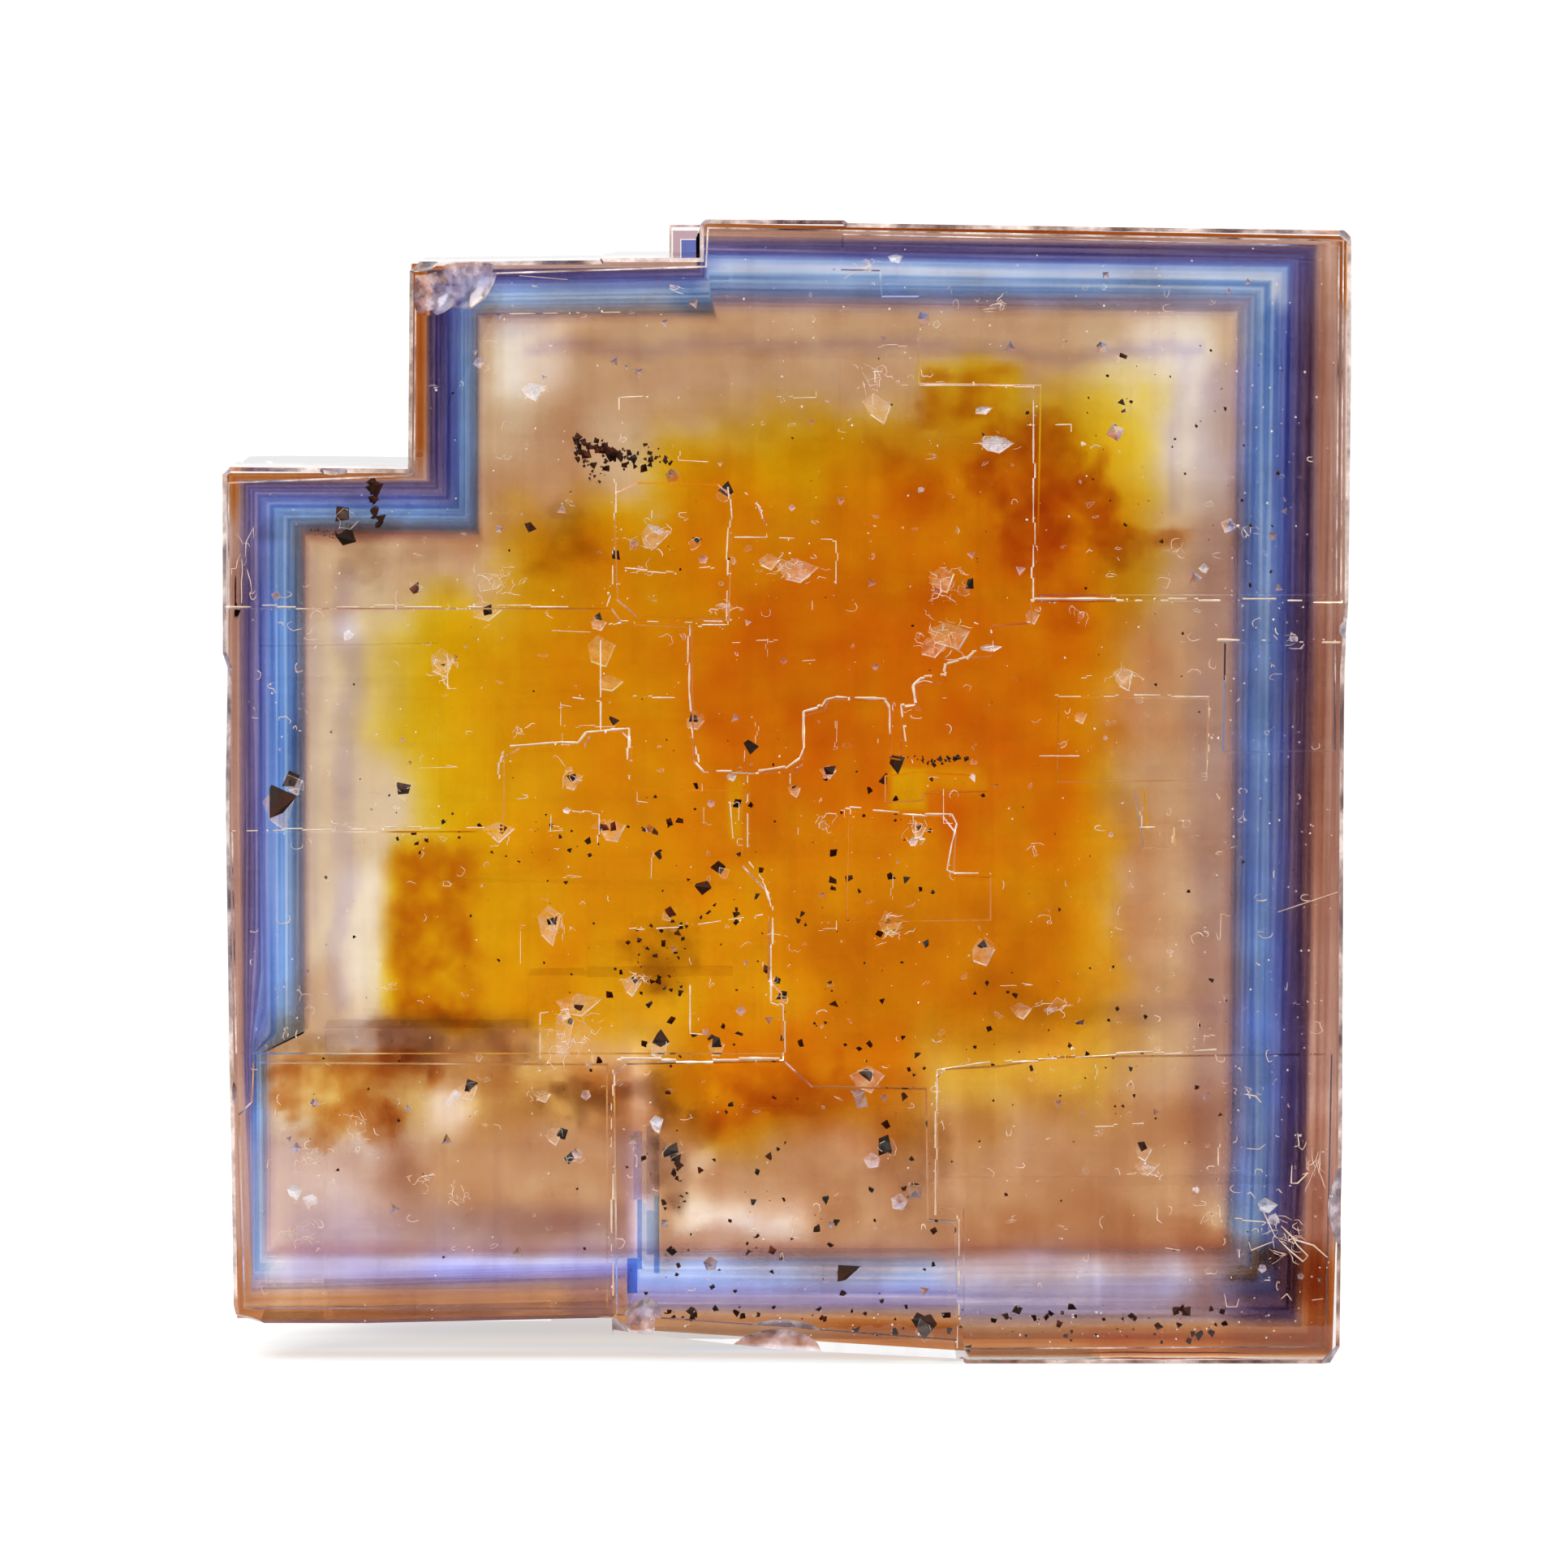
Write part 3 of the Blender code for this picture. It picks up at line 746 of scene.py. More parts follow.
# The small cube that stands at the main block's top left corner has zones of its own.
SMALL_CUBE_DEPTHS, SMALL_CUBE_PATH = (-15.4, -11.0), 4.4
zone_blocks(
    "small_cube_rim",
    zone_material("small_cube_pink", (0.55, 0.95, 0.85), SMALL_CUBE_PATH),
    [(-6.15, -5.75, 59.95, 61.5, *SMALL_CUBE_DEPTHS), (-5.75, -4.8, 61.05, 61.5, *SMALL_CUBE_DEPTHS)],
)
zone_blocks(
    "small_cube_heart",
    zone_material("small_cube_blue", (1.9, 1.7, 0.75), SMALL_CUBE_PATH),
    [(-5.7, -4.85, 59.95, 61.0, *SMALL_CUBE_DEPTHS)],
)
# Inside the middle foot's left side: a blue layer, and above it a mauve one.
FOOT_PATH = 5.0
zone_blocks(
    "foot_blue_layer",
    zone_material("foot_blue", (1.6, 0.95, 0.2), FOOT_PATH),
    [
        (-8.65, -8.10, 3.9, 5.8, -14.0, -9.5), (-8.10, -7.85, 5.2, 9.0, -14.0, -10.5),
        (-7.85, -7.60, 6.2, 8.8, -14.0, -12.6), (-7.60, -7.20, 6.0, 8.4, -14.0, -11.0),
        (-7.20, -6.90, 5.0, 9.2, -14.0, -10.5),
    ],
)
zone_blocks(
    "foot_mauve_layer",
    zone_material("foot_mauve", (0.50, 0.42, 0.02), FOOT_PATH),
    [
        (-8.30, -7.85, 9.0, 12.7, -14.0, -9.5), (-7.85, -7.60, 8.8, 12.2, -14.0, -12.0),
        (-7.60, -7.20, 8.4, 13.0, -14.0, -10.0), (-7.20, -6.90, 9.2, 12.5, -14.0, -9.0),
    ],
)

# ---------------------------------------------------------------------------------------------------------
# The amber heart and the clouds: coloured fluorite with soft borders, thick in the middle and thin outside.
# Each is a closed lens whose thickness follows rounded boxes with ragged edges, so its colour fades out.


def soft_box(across, up, left, right, low, high, soft):
    """1 inside a rectangle and 0 outside it, over a border of width soft."""
    fill = 1.0
    for distance in (across - left, right - across, up - low, high - up):
        share = min(max(distance / soft + 0.5, 0.0), 1.0)
        fill *= share * share * (3 - 2 * share)
    return fill


def ragged(across, up, scale, seed):
    """Noise about 0, with features of about scale mm."""
    return noise.fractal(Vector((across / scale, up / scale, seed)), 0.9, 2.0, 5)


CLOUD_LEFT, CLOUD_RIGHT, CLOUD_LOW, CLOUD_HIGH = -29.2, 29.4, 2.6, 59.5
CLOUD_MARGIN, CLOUD_NEAREST = 2, 1.7
THINNEST_SHARE = 0.004
UPWARD_SEED, GRAINY_SEED = 31.7, 71.3


def cloud(
    name, mineral, patches, middle, thickness, wander=1.5, grainy=0.25, scale=6.0, seed=0.0, cell=0.5,
    joined=True, falloff=1.0, thickest=1.4,
):
    """A lens about depth middle, whose patches are (left, right, low, high, soft, weight).

    A patch with a weight below 0 thins what is there by that share. A seventh value says how far its
    border wanders, as a share of wander. Mineral is a name and what it takes of red, green and blue
    over the thickness. Joined patches don't pile up past the thickness, and the others do so up to
    thickest times it.
    """
    left = max(min(p[0] - p[4] for p in patches) - CLOUD_MARGIN, CLOUD_LEFT)
    right = min(max(p[1] + p[4] for p in patches) + CLOUD_MARGIN, CLOUD_RIGHT)
    low = max(min(p[2] - p[4] for p in patches) - CLOUD_MARGIN, CLOUD_LOW)
    high = min(max(p[3] + p[4] for p in patches) + CLOUD_MARGIN, CLOUD_HIGH)
    columns = int((right - left) / cell) + 2
    rows = int((high - low) / cell) + 2
    share = np.zeros((columns, rows))
    for i in range(1, columns - 1):
        for j in range(1, rows - 1):
            across, up = left + i * cell, low + j * cell
            sideways = wander * ragged(across, up, scale, seed)
            upward = wander * ragged(across, up, scale, seed + UPWARD_SEED)
            rest, total, thinned = 1.0, 0.0, 1.0
            for box_left, box_right, box_low, box_high, soft, weight, *border in patches:
                loose = border[0] if border else 1.0
                a, b = across + loose * sideways, up + loose * upward
                within = abs(weight) * soft_box(a, b, box_left, box_right, box_low, box_high, soft)
                if weight < 0:
                    thinned *= max(1 - within, 0.0)
                else:
                    rest *= 1 - min(within, 1.0)
                    total += within
            total = (1 - rest if joined else total) ** falloff
            total *= thinned * (1 + grainy * ragged(across, up, scale * 0.45, seed + GRAINY_SEED))
            share[i, j] = min(max(total, 0.0), thickest)
    share[share < THINNEST_SHARE] = 0.0
    work = bmesh.new()
    front, back = {}, {}
    for i in range(columns):
        for j in range(rows):
            half = share[i, j] * thickness / 2
            x, z = in_sight(left + i * cell, low + j * cell, middle)
            near = max(middle - half, SHOW_FACE_Y + CLOUD_NEAREST)
            front[i, j] = work.verts.new(keep_inside(x, near, z) * MM)
            if half > 0:
                back[i, j] = work.verts.new(keep_inside(x, near + 2 * half, z) * MM)
            else:
                back[i, j] = front[i, j]
    for i in range(columns - 1):
        for j in range(rows - 1):
            corners = [(i, j), (i + 1, j), (i + 1, j + 1), (i, j + 1)]
            if max(share[c] for c in corners) <= 0:
                continue
            work.faces.new([front[c] for c in corners])
            work.faces.new([back[c] for c in reversed(corners)])
    add_piece(name, work, zone_material(*mineral, thickness))


cloud(
    "cream_core",
    ("cream", (0.42, 0.70, 1.15)),
    [
        (-26.6, 24.3, 17.5, 45.6, 1.2, 1.0),
        (-16.8, 24.3, 44.0, 57.3, 1.2, 1.0),
        (-28.0, -8.5, 6.0, 19.0, 1.2, 1.0),
        (-7.6, 9.0, 6.2, 19.0, 1.2, 1.0),
        (9.0, 24.0, 6.2, 19.0, 1.2, 1.0),
        # Thinner at the middle block's top left corner and along the top right: paler there, partly the cream
        # of those corners and partly a painted highlight.
        (-15.6, -11.6, 52.6, 56.8, 2.0, -0.7),
        (17.0, 23.0, 48.5, 55.0, 3.0, -0.55),
        (18.5, 23.0, 54.2, 57.2, 2.0, -0.6),
        (-24.2, -23.3, 39.4, 40.8, 1.8, -1.0),
        (-24.5, -21.5, 20.0, 27.0, 2.0, -0.35),
        (-28.5, -21.5, 4.5, 12.5, 4.0, -0.45),
        (-19.4, -16.8, 12.8, 15.2, 1.4, -0.6),
        (-5.6, 1.6, 7.0, 9.2, 1.6, -0.65),
        (-6.2, -4.2, 10.2, 12.2, 1.4, -0.4),
        (-8.4, -6.9, 4.2, 9.2, 0.8, -0.75, 0.1),
    ],
    middle=-8.5,
    thickness=12.0,
    wander=0.25,
    grainy=0.14,
    scale=5.0,
    seed=1.7,
)
cloud(
    "yellow_heart",
    ("yellow", (0.03, 0.40, 5.6)),
    [
        (-20.4, 17.4, 18.6, 41.4, 5.5, 1.0),
        (-15.0, 18.8, 38.0, 46.0, 5.0, 1.0),
        (-7.5, 17.5, 44.0, 51.2, 6.0, 1.0),
        (7.5, 20.0, 46.5, 53.0, 5.0, 0.55),
        (16.8, 20.6, 46.2, 52.0, 2.8, 0.36, 0.5),
        (-6.5, 7.5, 12.5, 20.5, 4.5, 0.95),
        (7.0, 19.0, 13.0, 20.5, 6.0, 0.55),
        (-27.5, -9.0, 13.0, 16.8, 3.0, 0.3),
        (-7.9, -6.5, 44.2, 45.8, 1.5, -0.85),
        (-23.5, -20.5, 32.0, 40.0, 4.0, 0.3),
        (-21.5, -12.0, 18.8, 28.4, 1.8, 1.0, 0.15),
        (-19.6, -16.2, 12.6, 15.6, 1.6, -1.0),
        (7.4, 13.0, 50.8, 54.2, 1.0, 0.6, 0.3),
    ],
    middle=-7.8,
    thickness=11.5,
    wander=1.8,
    grainy=0.2,
    seed=3.1,
    falloff=1.8,
)
cloud(
    "orange_heart",
    ("orange", (0.14, 0.98, 1.7)),
    [
        (-15.0, 18.0, 15.5, 47.0, 8.0, 0.50),
        (-5.5, 18.0, 28.0, 48.0, 6.0, 0.32),
        (-4.5, 12.5, 30.0, 42.0, 4.0, 0.20),
        (3.0, 15.0, 46.0, 51.0, 3.0, 0.35),
        (-5.5, 6.5, 12.5, 18.5, 3.0, 0.40),
        (-12.0, -3.5, 18.0, 25.5, 3.0, -0.35),
        (5.5, 7.5, 30.1, 32.4, 0.4, -0.8, 0.1),
        (7.5, 10.7, 31.1, 32.4, 0.4, -0.5, 0.1),
        (-3.2, -2.2, 28.4, 32.0, 0.4, -0.6, 0.1),
        (-4.2, -1.2, 24.2, 27.4, 0.6, -0.35, 0.2),
    ],
    middle=-7.4,
    thickness=11.0,
    wander=2.0,
    grainy=0.35,
    seed=12.6,
    cell=0.4,
    joined=False,
)
cloud(
    "pinkish_tan_cloud",
    ("pinkish_tan", (0.27, 0.56, 0.78)),
    [
        (-13.5, 24.3, 49.5, 58.0, 4.0, 0.85),
        (17.5, 25.0, 13.0, 47.0, 3.4, 0.9),
        (24.6, 30.6, 13.0, 60.0, 2.0, 0.35),
        (25.6, 30.6, 24.0, 42.0, 2.0, 0.25),
        (24.6, 30.6, 3.0, 14.0, 2.0, 0.85),
        (21.8, 30.6, 2.0, 7.4, 2.0, 1.3),
        (-20.8, -15.6, 44.0, 60.0, 1.4, 0.45),
        (-29.0, -20.0, 4.5, 12.0, 3.0, 0.5),
        (-22.0, -14.5, 15.2, 18.8, 1.4, 1.5),
        (-16.5, -11.0, 45.5, 52.0, 2.5, 0.4),
        (-27.5, -18.0, 41.5, 45.5, 1.6, 0.4),
        (-11.0, -5.0, 13.0, 17.2, 1.4, 1.2),
        (-22.0, -8.0, 7.4, 15.5, 3.2, 1.5),
        (-8.0, 23.5, 5.5, 14.2, 3.5, 1.55),
        (9.0, 24.5, 3.4, 8.0, 2.5, 0.6),
        (-24.0, -17.0, 42.5, 46.0, 2.5, 0.3),
        (-16.5, -10.0, 43.0, 50.0, 3.5, 0.45),
        (-27.5, -25.5, 17.5, 21.5, 2.0, 0.45),
        (1.0, 14.5, 16.8, 25.5, 3.0, 0.65),
        (-30.0, -26.0, 14.0, 17.5, 2.0, 1.0),
        (-25.5, -19.5, 9.5, 12.5, 2.0, 0.5),
        # Thinner by the top right corner: paler there, partly the cream of that corner and partly a painted
        # highlight.
        (20.5, 23.6, 46.0, 56.5, 2.4, -0.9),
        (16.0, 21.0, 46.0, 56.0, 3.0, -0.6),
        (7.4, 13.0, 50.8, 54.2, 1.2, -0.6, 0.3),
        (-20.0, -16.6, 12.6, 15.4, 1.4, -0.6),
        (-24.0, -18.5, 5.0, 10.5, 2.5, -0.35),
        (-5.6, 1.6, 7.0, 8.8, 1.6, -0.75),
        (-6.2, -4.2, 10.0, 12.2, 1.4, -0.5),
        (-8.4, -6.9, 4.2, 9.2, 0.8, -0.7, 0.1),
        (-13.2, -9.6, 13.6, 15.0, 1.0, -0.5),
    ],
    middle=0.5,
    thickness=6.0,
    wander=1.8,
    grainy=0.35,
    seed=8.4,
    cell=0.4,
    joined=False,
    thickest=2.4,
)
cloud(
    "lavender_cloud",
    ("lavender", (0.50, 0.58, 0.10)),
    [
        (-27.0, -9.5, 4.2, 8.2, 2.4, 0.7),
        (-28.5, -20.0, 5.0, 13.0, 3.0, 0.45),
        (-12.5, -8.2, 3.4, 8.0, 1.2, 0.85),
        (-22.0, -9.5, 4.0, 8.6, 2.5, 0.55),
        (9.0, 25.5, 4.0, 6.6, 1.8, 0.45),
        (-9.5, 9.0, 3.0, 7.2, 1.8, 0.35),
        (-9.3, -8.0, 4.5, 12.5, 1.2, 0.8),
        (22.2, 25.5, 9.0, 54.5, 1.8, 0.6),
        (-24.5, -23.3, 19.0, 43.0, 0.9, 0.5),
        (-26.6, -25.4, 19.0, 44.0, 1.0, 0.35),
        (-18.0, -13.0, 56.2, 57.4, 0.9, 0.3),
        (-14.0, 22.0, 54.8, 55.5, 0.7, 0.5),
        (-25.5, -18.5, 16.6, 18.6, 1.0, 0.5),
        (13.0, 25.0, 18.6, 19.6, 1.0, 0.35),
        (20.8, 21.6, 46.0, 55.2, 0.8, 0.35),
    ],
    middle=1.5,
    thickness=5.0,
    seed=27.4,
    wander=0.8,
    cell=0.4,
)
cloud(
    "orange_cloud",
    ("dark_orange", (0.36, 1.0, 1.9)),
    [
        (7.6, 12.4, 51.2, 54.0, 0.8, 0.62, 0.45),
        (10.4, 15.3, 46.6, 51.6, 1.2, 0.65, 0.5),
        (12.4, 17.4, 44.4, 49.0, 1.2, 0.68, 0.5),
        (17.4, 21.8, 43.9, 45.6, 0.8, 0.6, 0.5),
        (11.6, 15.4, 42.6, 45.2, 1.0, 0.5, 0.5),
        (5.0, 10.0, 46.5, 49.5, 1.6, 0.3, 0.6),
        (13.0, 16.0, 40.0, 43.0, 1.4, 0.3, 0.6),
        (-28.0, -20.5, 13.8, 16.6, 1.2, 0.85),
        (-3.0, 3.0, 13.5, 16.0, 1.5, 0.5),
        (-26.0, -21.0, 12.4, 14.2, 1.0, 0.5),
        (-21.5, -16.8, 18.6, 28.2, 1.8, 0.78, 0.2),
        (23.8, 25.4, 4.9, 5.5, 0.4, 1.0, 0.2),
        (25.2, 26.6, 5.4, 6.2, 0.4, 0.9, 0.2),
    ],
    middle=6.0,
    thickness=3.0,
    wander=2.6,
    grainy=1.0,
    scale=3.0,
    seed=15.2,
    cell=0.3,
)
cloud(
    "smoky_cloud",
    ("smoke", (0.60, 0.80, 0.9)),
    [
        (-21.5, -13.5, 16.9, 19.0, 0.8, 0.6),
        (-13.2, -6.2, 14.1, 15.6, 0.7, 0.8),
        (-8.2, -5.4, 19.8, 23.8, 1.4, 0.55),
        (-7.4, -6.5, 20.2, 22.3, 0.5, 1.3, 0.3),
        (-13.5, -10.0, 43.5, 46.5, 1.6, 0.5),
        (-27.5, -21.0, 16.0, 18.4, 1.0, 0.4),
        (-24.0, -21.5, 43.0, 48.0, 0.8, 0.3),
        (-29.0, -21.0, 45.0, 46.6, 0.8, 0.3),
        (5.0, 9.0, 8.0, 13.0, 1.6, 0.3),
        (-7.0, -5.4, 9.4, 13.0, 0.9, 0.75),
        (10.0, 22.0, 17.6, 21.0, 1.6, 0.15),
    ],
    middle=4.6,
    thickness=2.2,
    wander=1.6,
    grainy=1.0,
    scale=2.6,
    seed=22.9,
    cell=0.3,
)

# ---------------------------------------------------------------------------------------------------------
# The sealed grains: small brassy sulphide crystals that the fluorite grew over, dark against the light.
# They are wedge-shaped, from dust to 1.6 mm across, and crowd the middle and the lower rim.


def sulphide():
    material, nodes, links, output = new_material("sulphide")
    shader = nodes.new("ShaderNodeBsdfPrincipled")
    place = nodes.new("ShaderNodeTexCoord").outputs["Object"]
    kind = grain_noise(nodes, links, place, 300.0, 1.0)
    links.new(
        ramp(
            nodes,
            links,
            kind,
            [
                (0.34, linear((52, 52, 50))),
                (0.45, linear((58, 32, 20))),
                (0.58, linear((78, 36, 18))),
                (0.72, linear((132, 48, 18))),
            ],
        ),
        shader.inputs["Base Color"],
    )
    shader.inputs["Roughness"].default_value = 0.7
    shader.inputs["Specular IOR Level"].default_value = 0.25
    bump = nodes.new("ShaderNodeBump")
    bump.inputs["Strength"].default_value = 0.4
    bump.inputs["Distance"].default_value = 0.04 * MM
    links.new(grain_noise(nodes, links, place, 4000.0, 3.0), bump.inputs["Height"])
    links.new(bump.outputs["Normal"], shader.inputs["Normal"])
    links.new(shader.outputs["BSDF"], output.inputs["Surface"])
    return material


FOOT_LEFT_X, FOOT_RIGHT_X = -9.2, 9.8


def underside(x):
    """The lowest that a grain may lie: low over the right block, and rising to the left over the foot."""
    if x > FOOT_RIGHT_X:
        return 0.5
    return 2.7 if x < FOOT_LEFT_X else 2.1 - 0.0625 * (x - FOOT_LEFT_X)


def add_grain(work, across, up, depth, size, picker):
    """One splinter: the hull of a few points about a stretched tetrahedron, turned at random.

    It shows at a place across and up on the show face, and lies at a depth below it.
    """
    y = SHOW_FACE_Y + depth
    x, z = in_sight(across, up, y)
    side_corner = (MIDDLE_LEFT_X + 0.6, SIDE_TOP_Z - 0.6)
    if above_steps(x, z, side_corner, (MAIN_LEFT_X + 0.4, MIDDLE_TOP_Z - 0.6)):
        return
    if z - size / 2 < underside(x):
        return
    stretch = Vector((1.0, picker.uniform(0.5, 0.9), picker.uniform(0.55, 1.05)))
    turn = Matrix.Rotation(picker.uniform(0, 6.28), 3, "Y")
    turn = turn @ Matrix.Rotation(picker.uniform(-0.6, 0.6), 3, "X")
    made = []
    for signs in ((1, 1, 1), (1, -1, -1), (-1, 1, -1), (-1, -1, 1)):
        for reach in (1.0, picker.uniform(0.3, 0.8)):
            corner = Vector(c * s * reach for c, s in zip(signs, stretch))
            corner += Vector(picker.uniform(-0.35, 0.35) for _ in range(3))
            made.append(work.verts.new((Vector((x, y, z)) + turn @ corner * (size * 0.42)) * MM))
    bmesh.ops.convex_hull(work, input=made)


# Across and up on the show face, width, and depth below it.
LARGE_GRAINS = [
    (-27.5, 30.5, 1.6, 2.0), (-26.8, 31.8, 0.8, 2.2), (-20.8, 31.3, 0.8, 2.0), (-20.1, 42.1, 0.55, 2.5),
    (-16.2, 41.0, 0.7, 2.0), (-9.3, 44.0, 0.6, 2.0), (-3.3, 47.5, 0.7, 2.0), (-4.9, 44.8, 0.5, 3.0),
    (-10.2, 40.6, 0.45, 2.4), (9.9, 42.4, 0.65, 2.0), (5.9, 32.7, 0.9, 2.2), (5.3, 31.8, 0.7, 2.6),
    (-5.0, 35.1, 0.6, 2.0), (-9.4, 35.0, 0.6, 2.3), (-6.9, 27.7, 0.6, 3.0), (-6.9, 17.7, 0.85, 2.0),
    (-3.8, 17.5, 0.8, 2.0), (4.4, 15.8, 0.85, 2.0), (-0.2, 20.1, 0.6, 2.0), (10.6, 22.8, 0.55, 2.2),
    (15.9, 18.6, 0.55, 2.4), (7.6, 2.3, 1.25, 1.6), (19.3, 11.9, 0.6, 2.0), (-17.2, 15.2, 0.65, 2.2),
    (-12.2, 12.6, 0.7, 2.4), (-11.7, 11.3, 0.7, 2.8), (2.3, 32.3, 0.7, 2.5), (-2.0, 33.6, 0.7, 3.5),
    (-15.4, 29.1, 0.6, 2.2), (-9.9, 29.2, 0.6, 2.2), (-11.6, 31.9, 0.5, 2.6), (5.3, 12.0, 1.1, 5.0),
    (6.9, 9.5, 1.0, 4.5), (3.2, 5.0, 1.1, 5.0), (-6.25, 11.7, 1.0, 3.0), (-4.5, 26.0, 0.8, 3.0),
    (-3.7, 27.0, 0.7, 3.4), (-6.3, 24.6, 0.6, 3.2), (-23.8, 44.9, 1.0, 4.0), (-24.0, 46.2, 0.9, 3.0),
    (-13.9, 45.5, 0.6, 2.0), (18.2, 54.7, 0.5, 2.0), (18.1, 52.2, 0.5, 4.0), (-0.5, 20.9, 0.45, 3.0),
]
GRAIN_SEED = 5
picker = random.Random(GRAIN_SEED)
work = bmesh.new()
for across, up, width, depth in LARGE_GRAINS:
    add_grain(work, across, up, depth, width, picker)
# Regions of small grains: left, right, low, high, how many, and the widest in mm.
SMALL_GRAIN_DEPTHS, NARROWEST_GRAIN = (1.2, 9.0), 0.07
SMALL_GRAINS = [
    (-28, 28, 5, 56, 150, 0.24),
    (-12, 8, 14, 32, 105, 0.5),
    (-8.2, -5.2, 20, 24, 34, 0.42),
    (-9, 9, 1.5, 15, 60, 0.5),
    (-7.5, 24, 0.9, 3.2, 110, 0.55),
    (9, 24, 12, 22, 46, 0.34),
    (16, 27, 42, 56, 40, 0.3),
    (-11.2, -6.2, 48.6, 50.2, 26, 0.55),
    (-22, -10, 27.6, 30, 26, 0.4),
]
for left, right, low, high, many, widest in SMALL_GRAINS:
    for _ in range(many):
        across, up = picker.uniform(left, right), picker.uniform(low, high)
        depth = picker.uniform(*SMALL_GRAIN_DEPTHS)
        width = widest * picker.uniform(0.25, 1.0) ** 1.5
        add_grain(work, across, up, depth, max(width, NARROWEST_GRAIN), picker)
# Branched growths: strings of grains that touch, as (width at the start, width at the end, places).
BRANCH_PITCH, BRANCH_SPREAD, BRANCH_DEPTHS = 0.14, 0.11, (2.2, 3.0)
BRANCHES = [
    (0.5, 0.3, [(-11.5, 50.1), (-11.0, 48.9)]),
    (0.6, 0.3, [(-11.3, 49.9), (-9.9, 49.8), (-9.2, 49.3), (-8.0, 49.4)]),
    (0.25, 0.35, [(-7.6, 49.3), (-6.8, 49.2), (-6.1, 48.9)]),
    (0.45, 0.2, [(-10.9, 49.4), (-10.3, 48.0)]),
    (0.4, 0.15, [(-9.9, 49.6), (-10.0, 48.4)]),
    (0.3, 0.2, [(-8.8, 49.4), (-8.5, 48.9)]),
    (0.55, 0.4, [(-6.0, 11.2), (-5.95, 10.1)]),
    (0.2, 0.3, [(-5.4, 9.4), (-5.8, 8.7)]),
    (1.0, 0.75, [(-22.7, 48.2), (-22.3, 47.7)]),
    (0.65, 0.3, [(-22.3, 47.6), (-22.3, 46.4), (-22.0, 45.5)]),
    (0.22, 0.3, [(6.8, 33.0), (7.9, 32.7), (8.7, 32.8), (9.8, 33.0)]),
    (0.2, 0.12, [(-25.7, 45.4), (-24.6, 45.0), (-23.6, 45.6)]),
]
for start_width, end_width, places in BRANCHES:
    for (a, b), (c, d) in zip(places, places[1:]):
        steps = max(int(math.hypot(c - a, d - b) / BRANCH_PITCH), 1)
        for k in range(steps + 1):
            share = k / steps
            width = start_width + (end_width - start_width) * share
            depth = picker.uniform(*BRANCH_DEPTHS)
            across = a + (c - a) * share + picker.gauss(0, BRANCH_SPREAD)
            up = b + (d - b) * share + picker.gauss(0, BRANCH_SPREAD)
            add_grain(work, across, up, depth, width * picker.uniform(0.3, 1.2), picker)
# The grains inside the crack halos: across, up and width.
HALO_GRAIN_DEPTH = 2.3
HALO_GRAINS = [
    (-12.7, 24.1, 0.55), (-8.25, 20.9, 0.45), (-11.3, 19.4, 0.55), (-9.4, 29.25, 0.5), (-20.7, 31.4, 0.5),
    (7.2, 29.2, 0.35), (-18.6, 38.0, 0.25), (5.5, 24.1, 0.4), (-17.3, 15.0, 0.45), (0.4, 31.4, 0.3),
]
for across, up, width in HALO_GRAINS:
    add_grain(work, across, up, HALO_GRAIN_DEPTH, width, picker)
bmesh.ops.recalc_face_normals(work, faces=work.faces)
add_piece("sulphide_grains", work, sulphide())

# ---------------------------------------------------------------------------------------------------------
# The fine steps of growth: hair lines where one thin sheet of the crystal stops on the sheet below it.
# They run parallel to the cube faces with small jogs, and are drawn pale with a painted glow along part of
# their length, as a painted highlight where they catch the light.
crystal_skin = BVHTree.FromPolygons(
    [v.co.copy() for v in crystal.data.vertices], [list(p.vertices) for p in crystal.data.polygons]
)


def skin_y(across, up):
    """The depth of the show face at a place, or of a shallow ledge where the face is missing."""
    hit = crystal_skin.ray_cast(Vector((across * MM, -0.1, up * MM)), Vector((0, 1, 0)))
    return hit[0].y / MM if hit[0] else SHOW_FACE_Y + 0.6


